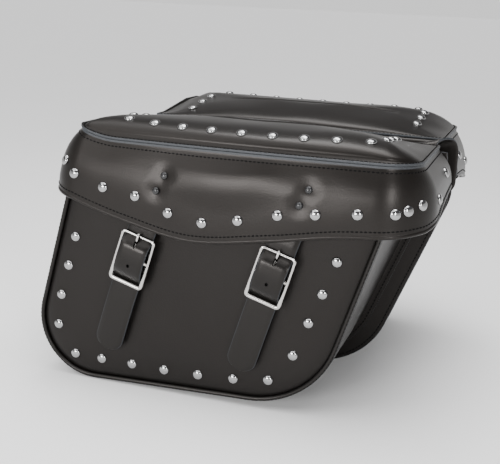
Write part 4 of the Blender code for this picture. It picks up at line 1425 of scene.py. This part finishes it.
# %% Floor, light and camera
bpy.ops.mesh.primitive_plane_add(size=80, location=(0, 0, 0))
floor = bpy.context.object
floor.name = "studio_floor"
paper = Finish("studio_paper", 0.9)
paper.feed(base_color=paper.blend(paper.noise(3.0), (0.86, 0.86, 0.86), (0.88, 0.88, 0.88)))
floor.data.materials.append(paper.material)

world = bpy.data.worlds.new("studio")
world.use_nodes = True
air = Nodes(world.node_tree)
AIR_STOPS = ((0.0, (1.0, 1.0, 1.0, 1)), (0.16, (0.95, 0.94, 0.93, 1)),
             (0.40, (0.15, 0.15, 0.155, 1)), (1.0, (0.22, 0.22, 0.23, 1)))
height = air.node("SeparateXYZ", output=2, Vector=air.node("TexCoord"))
shade = air.node("ValToRGB", {"stops": AIR_STOPS}, Fac=height)
backdrop = world.node_tree.nodes["Background"]
world.node_tree.links.new(shade.socket, backdrop.inputs["Color"])
backdrop.inputs["Strength"].default_value = 1.0
bpy.context.scene.world = world


def softbox(name, place, target, size, power):
    """A rectangular area light that faces a target."""
    light = bpy.data.lights.new(name, "AREA")
    light.shape = "RECTANGLE"
    light.size, light.size_y = size
    light.energy = power
    lamp = bpy.data.objects.new(name, light)
    lamp.location = place
    lamp.rotation_euler = (Vector(target) - Vector(place)).to_track_quat("-Z", "Y").to_euler()
    bpy.context.scene.collection.objects.link(lamp)


softbox("overhead", (0.1, 0.0, 1.6), (0.0, -0.1, 0.3), (1.5, 0.6), 20)
softbox("front_left", (-1.1, -1.7, 1.5), (-0.1, -0.2, 0.25), (0.8, 0.8), 8)
softbox("front", (-0.62, -2.2, 0.62), (0.0, -0.2, 0.26), (0.8, 0.4), 32)
softbox("right", (1.26, -1.9, 0.8), (0.2, -0.2, 0.26), (0.22, 0.9), 22)
sky = bpy.data.lights.new("ceiling", "SUN")
sky.energy = 3.3
sky.angle = math.radians(80)
lamp = bpy.data.objects.new("ceiling", sky)
lamp.rotation_euler = (math.radians(6), math.radians(-10), 0.0)
bpy.context.scene.collection.objects.link(lamp)

CAMERA_PLACE = Vector((0.3684, -1.2190, 0.505))
AZIMUTH, ELEVATION, ROLL = math.radians(17.99), math.radians(14.62), math.radians(2.545)
forward = Vector((-math.sin(AZIMUTH) * math.cos(ELEVATION), math.cos(AZIMUTH) * math.cos(ELEVATION),
                  -math.sin(ELEVATION)))
level = Vector((math.cos(AZIMUTH), math.sin(AZIMUTH), 0.0))
upright = level.cross(forward)
right = level * math.cos(ROLL) + upright * math.sin(ROLL)
up = upright * math.cos(ROLL) - level * math.sin(ROLL)
lens = bpy.data.cameras.new("camera")
lens.sensor_width = 36.0
lens.lens = 65.1
camera = bpy.data.objects.new("camera", lens)
camera.matrix_world = Matrix.Translation(CAMERA_PLACE) @ Matrix((right, up, -forward)).transposed().to_4x4()
bpy.context.scene.collection.objects.link(camera)
bpy.context.scene.camera = camera
print("camera at", [round(v, 3) for v in CAMERA_PLACE])
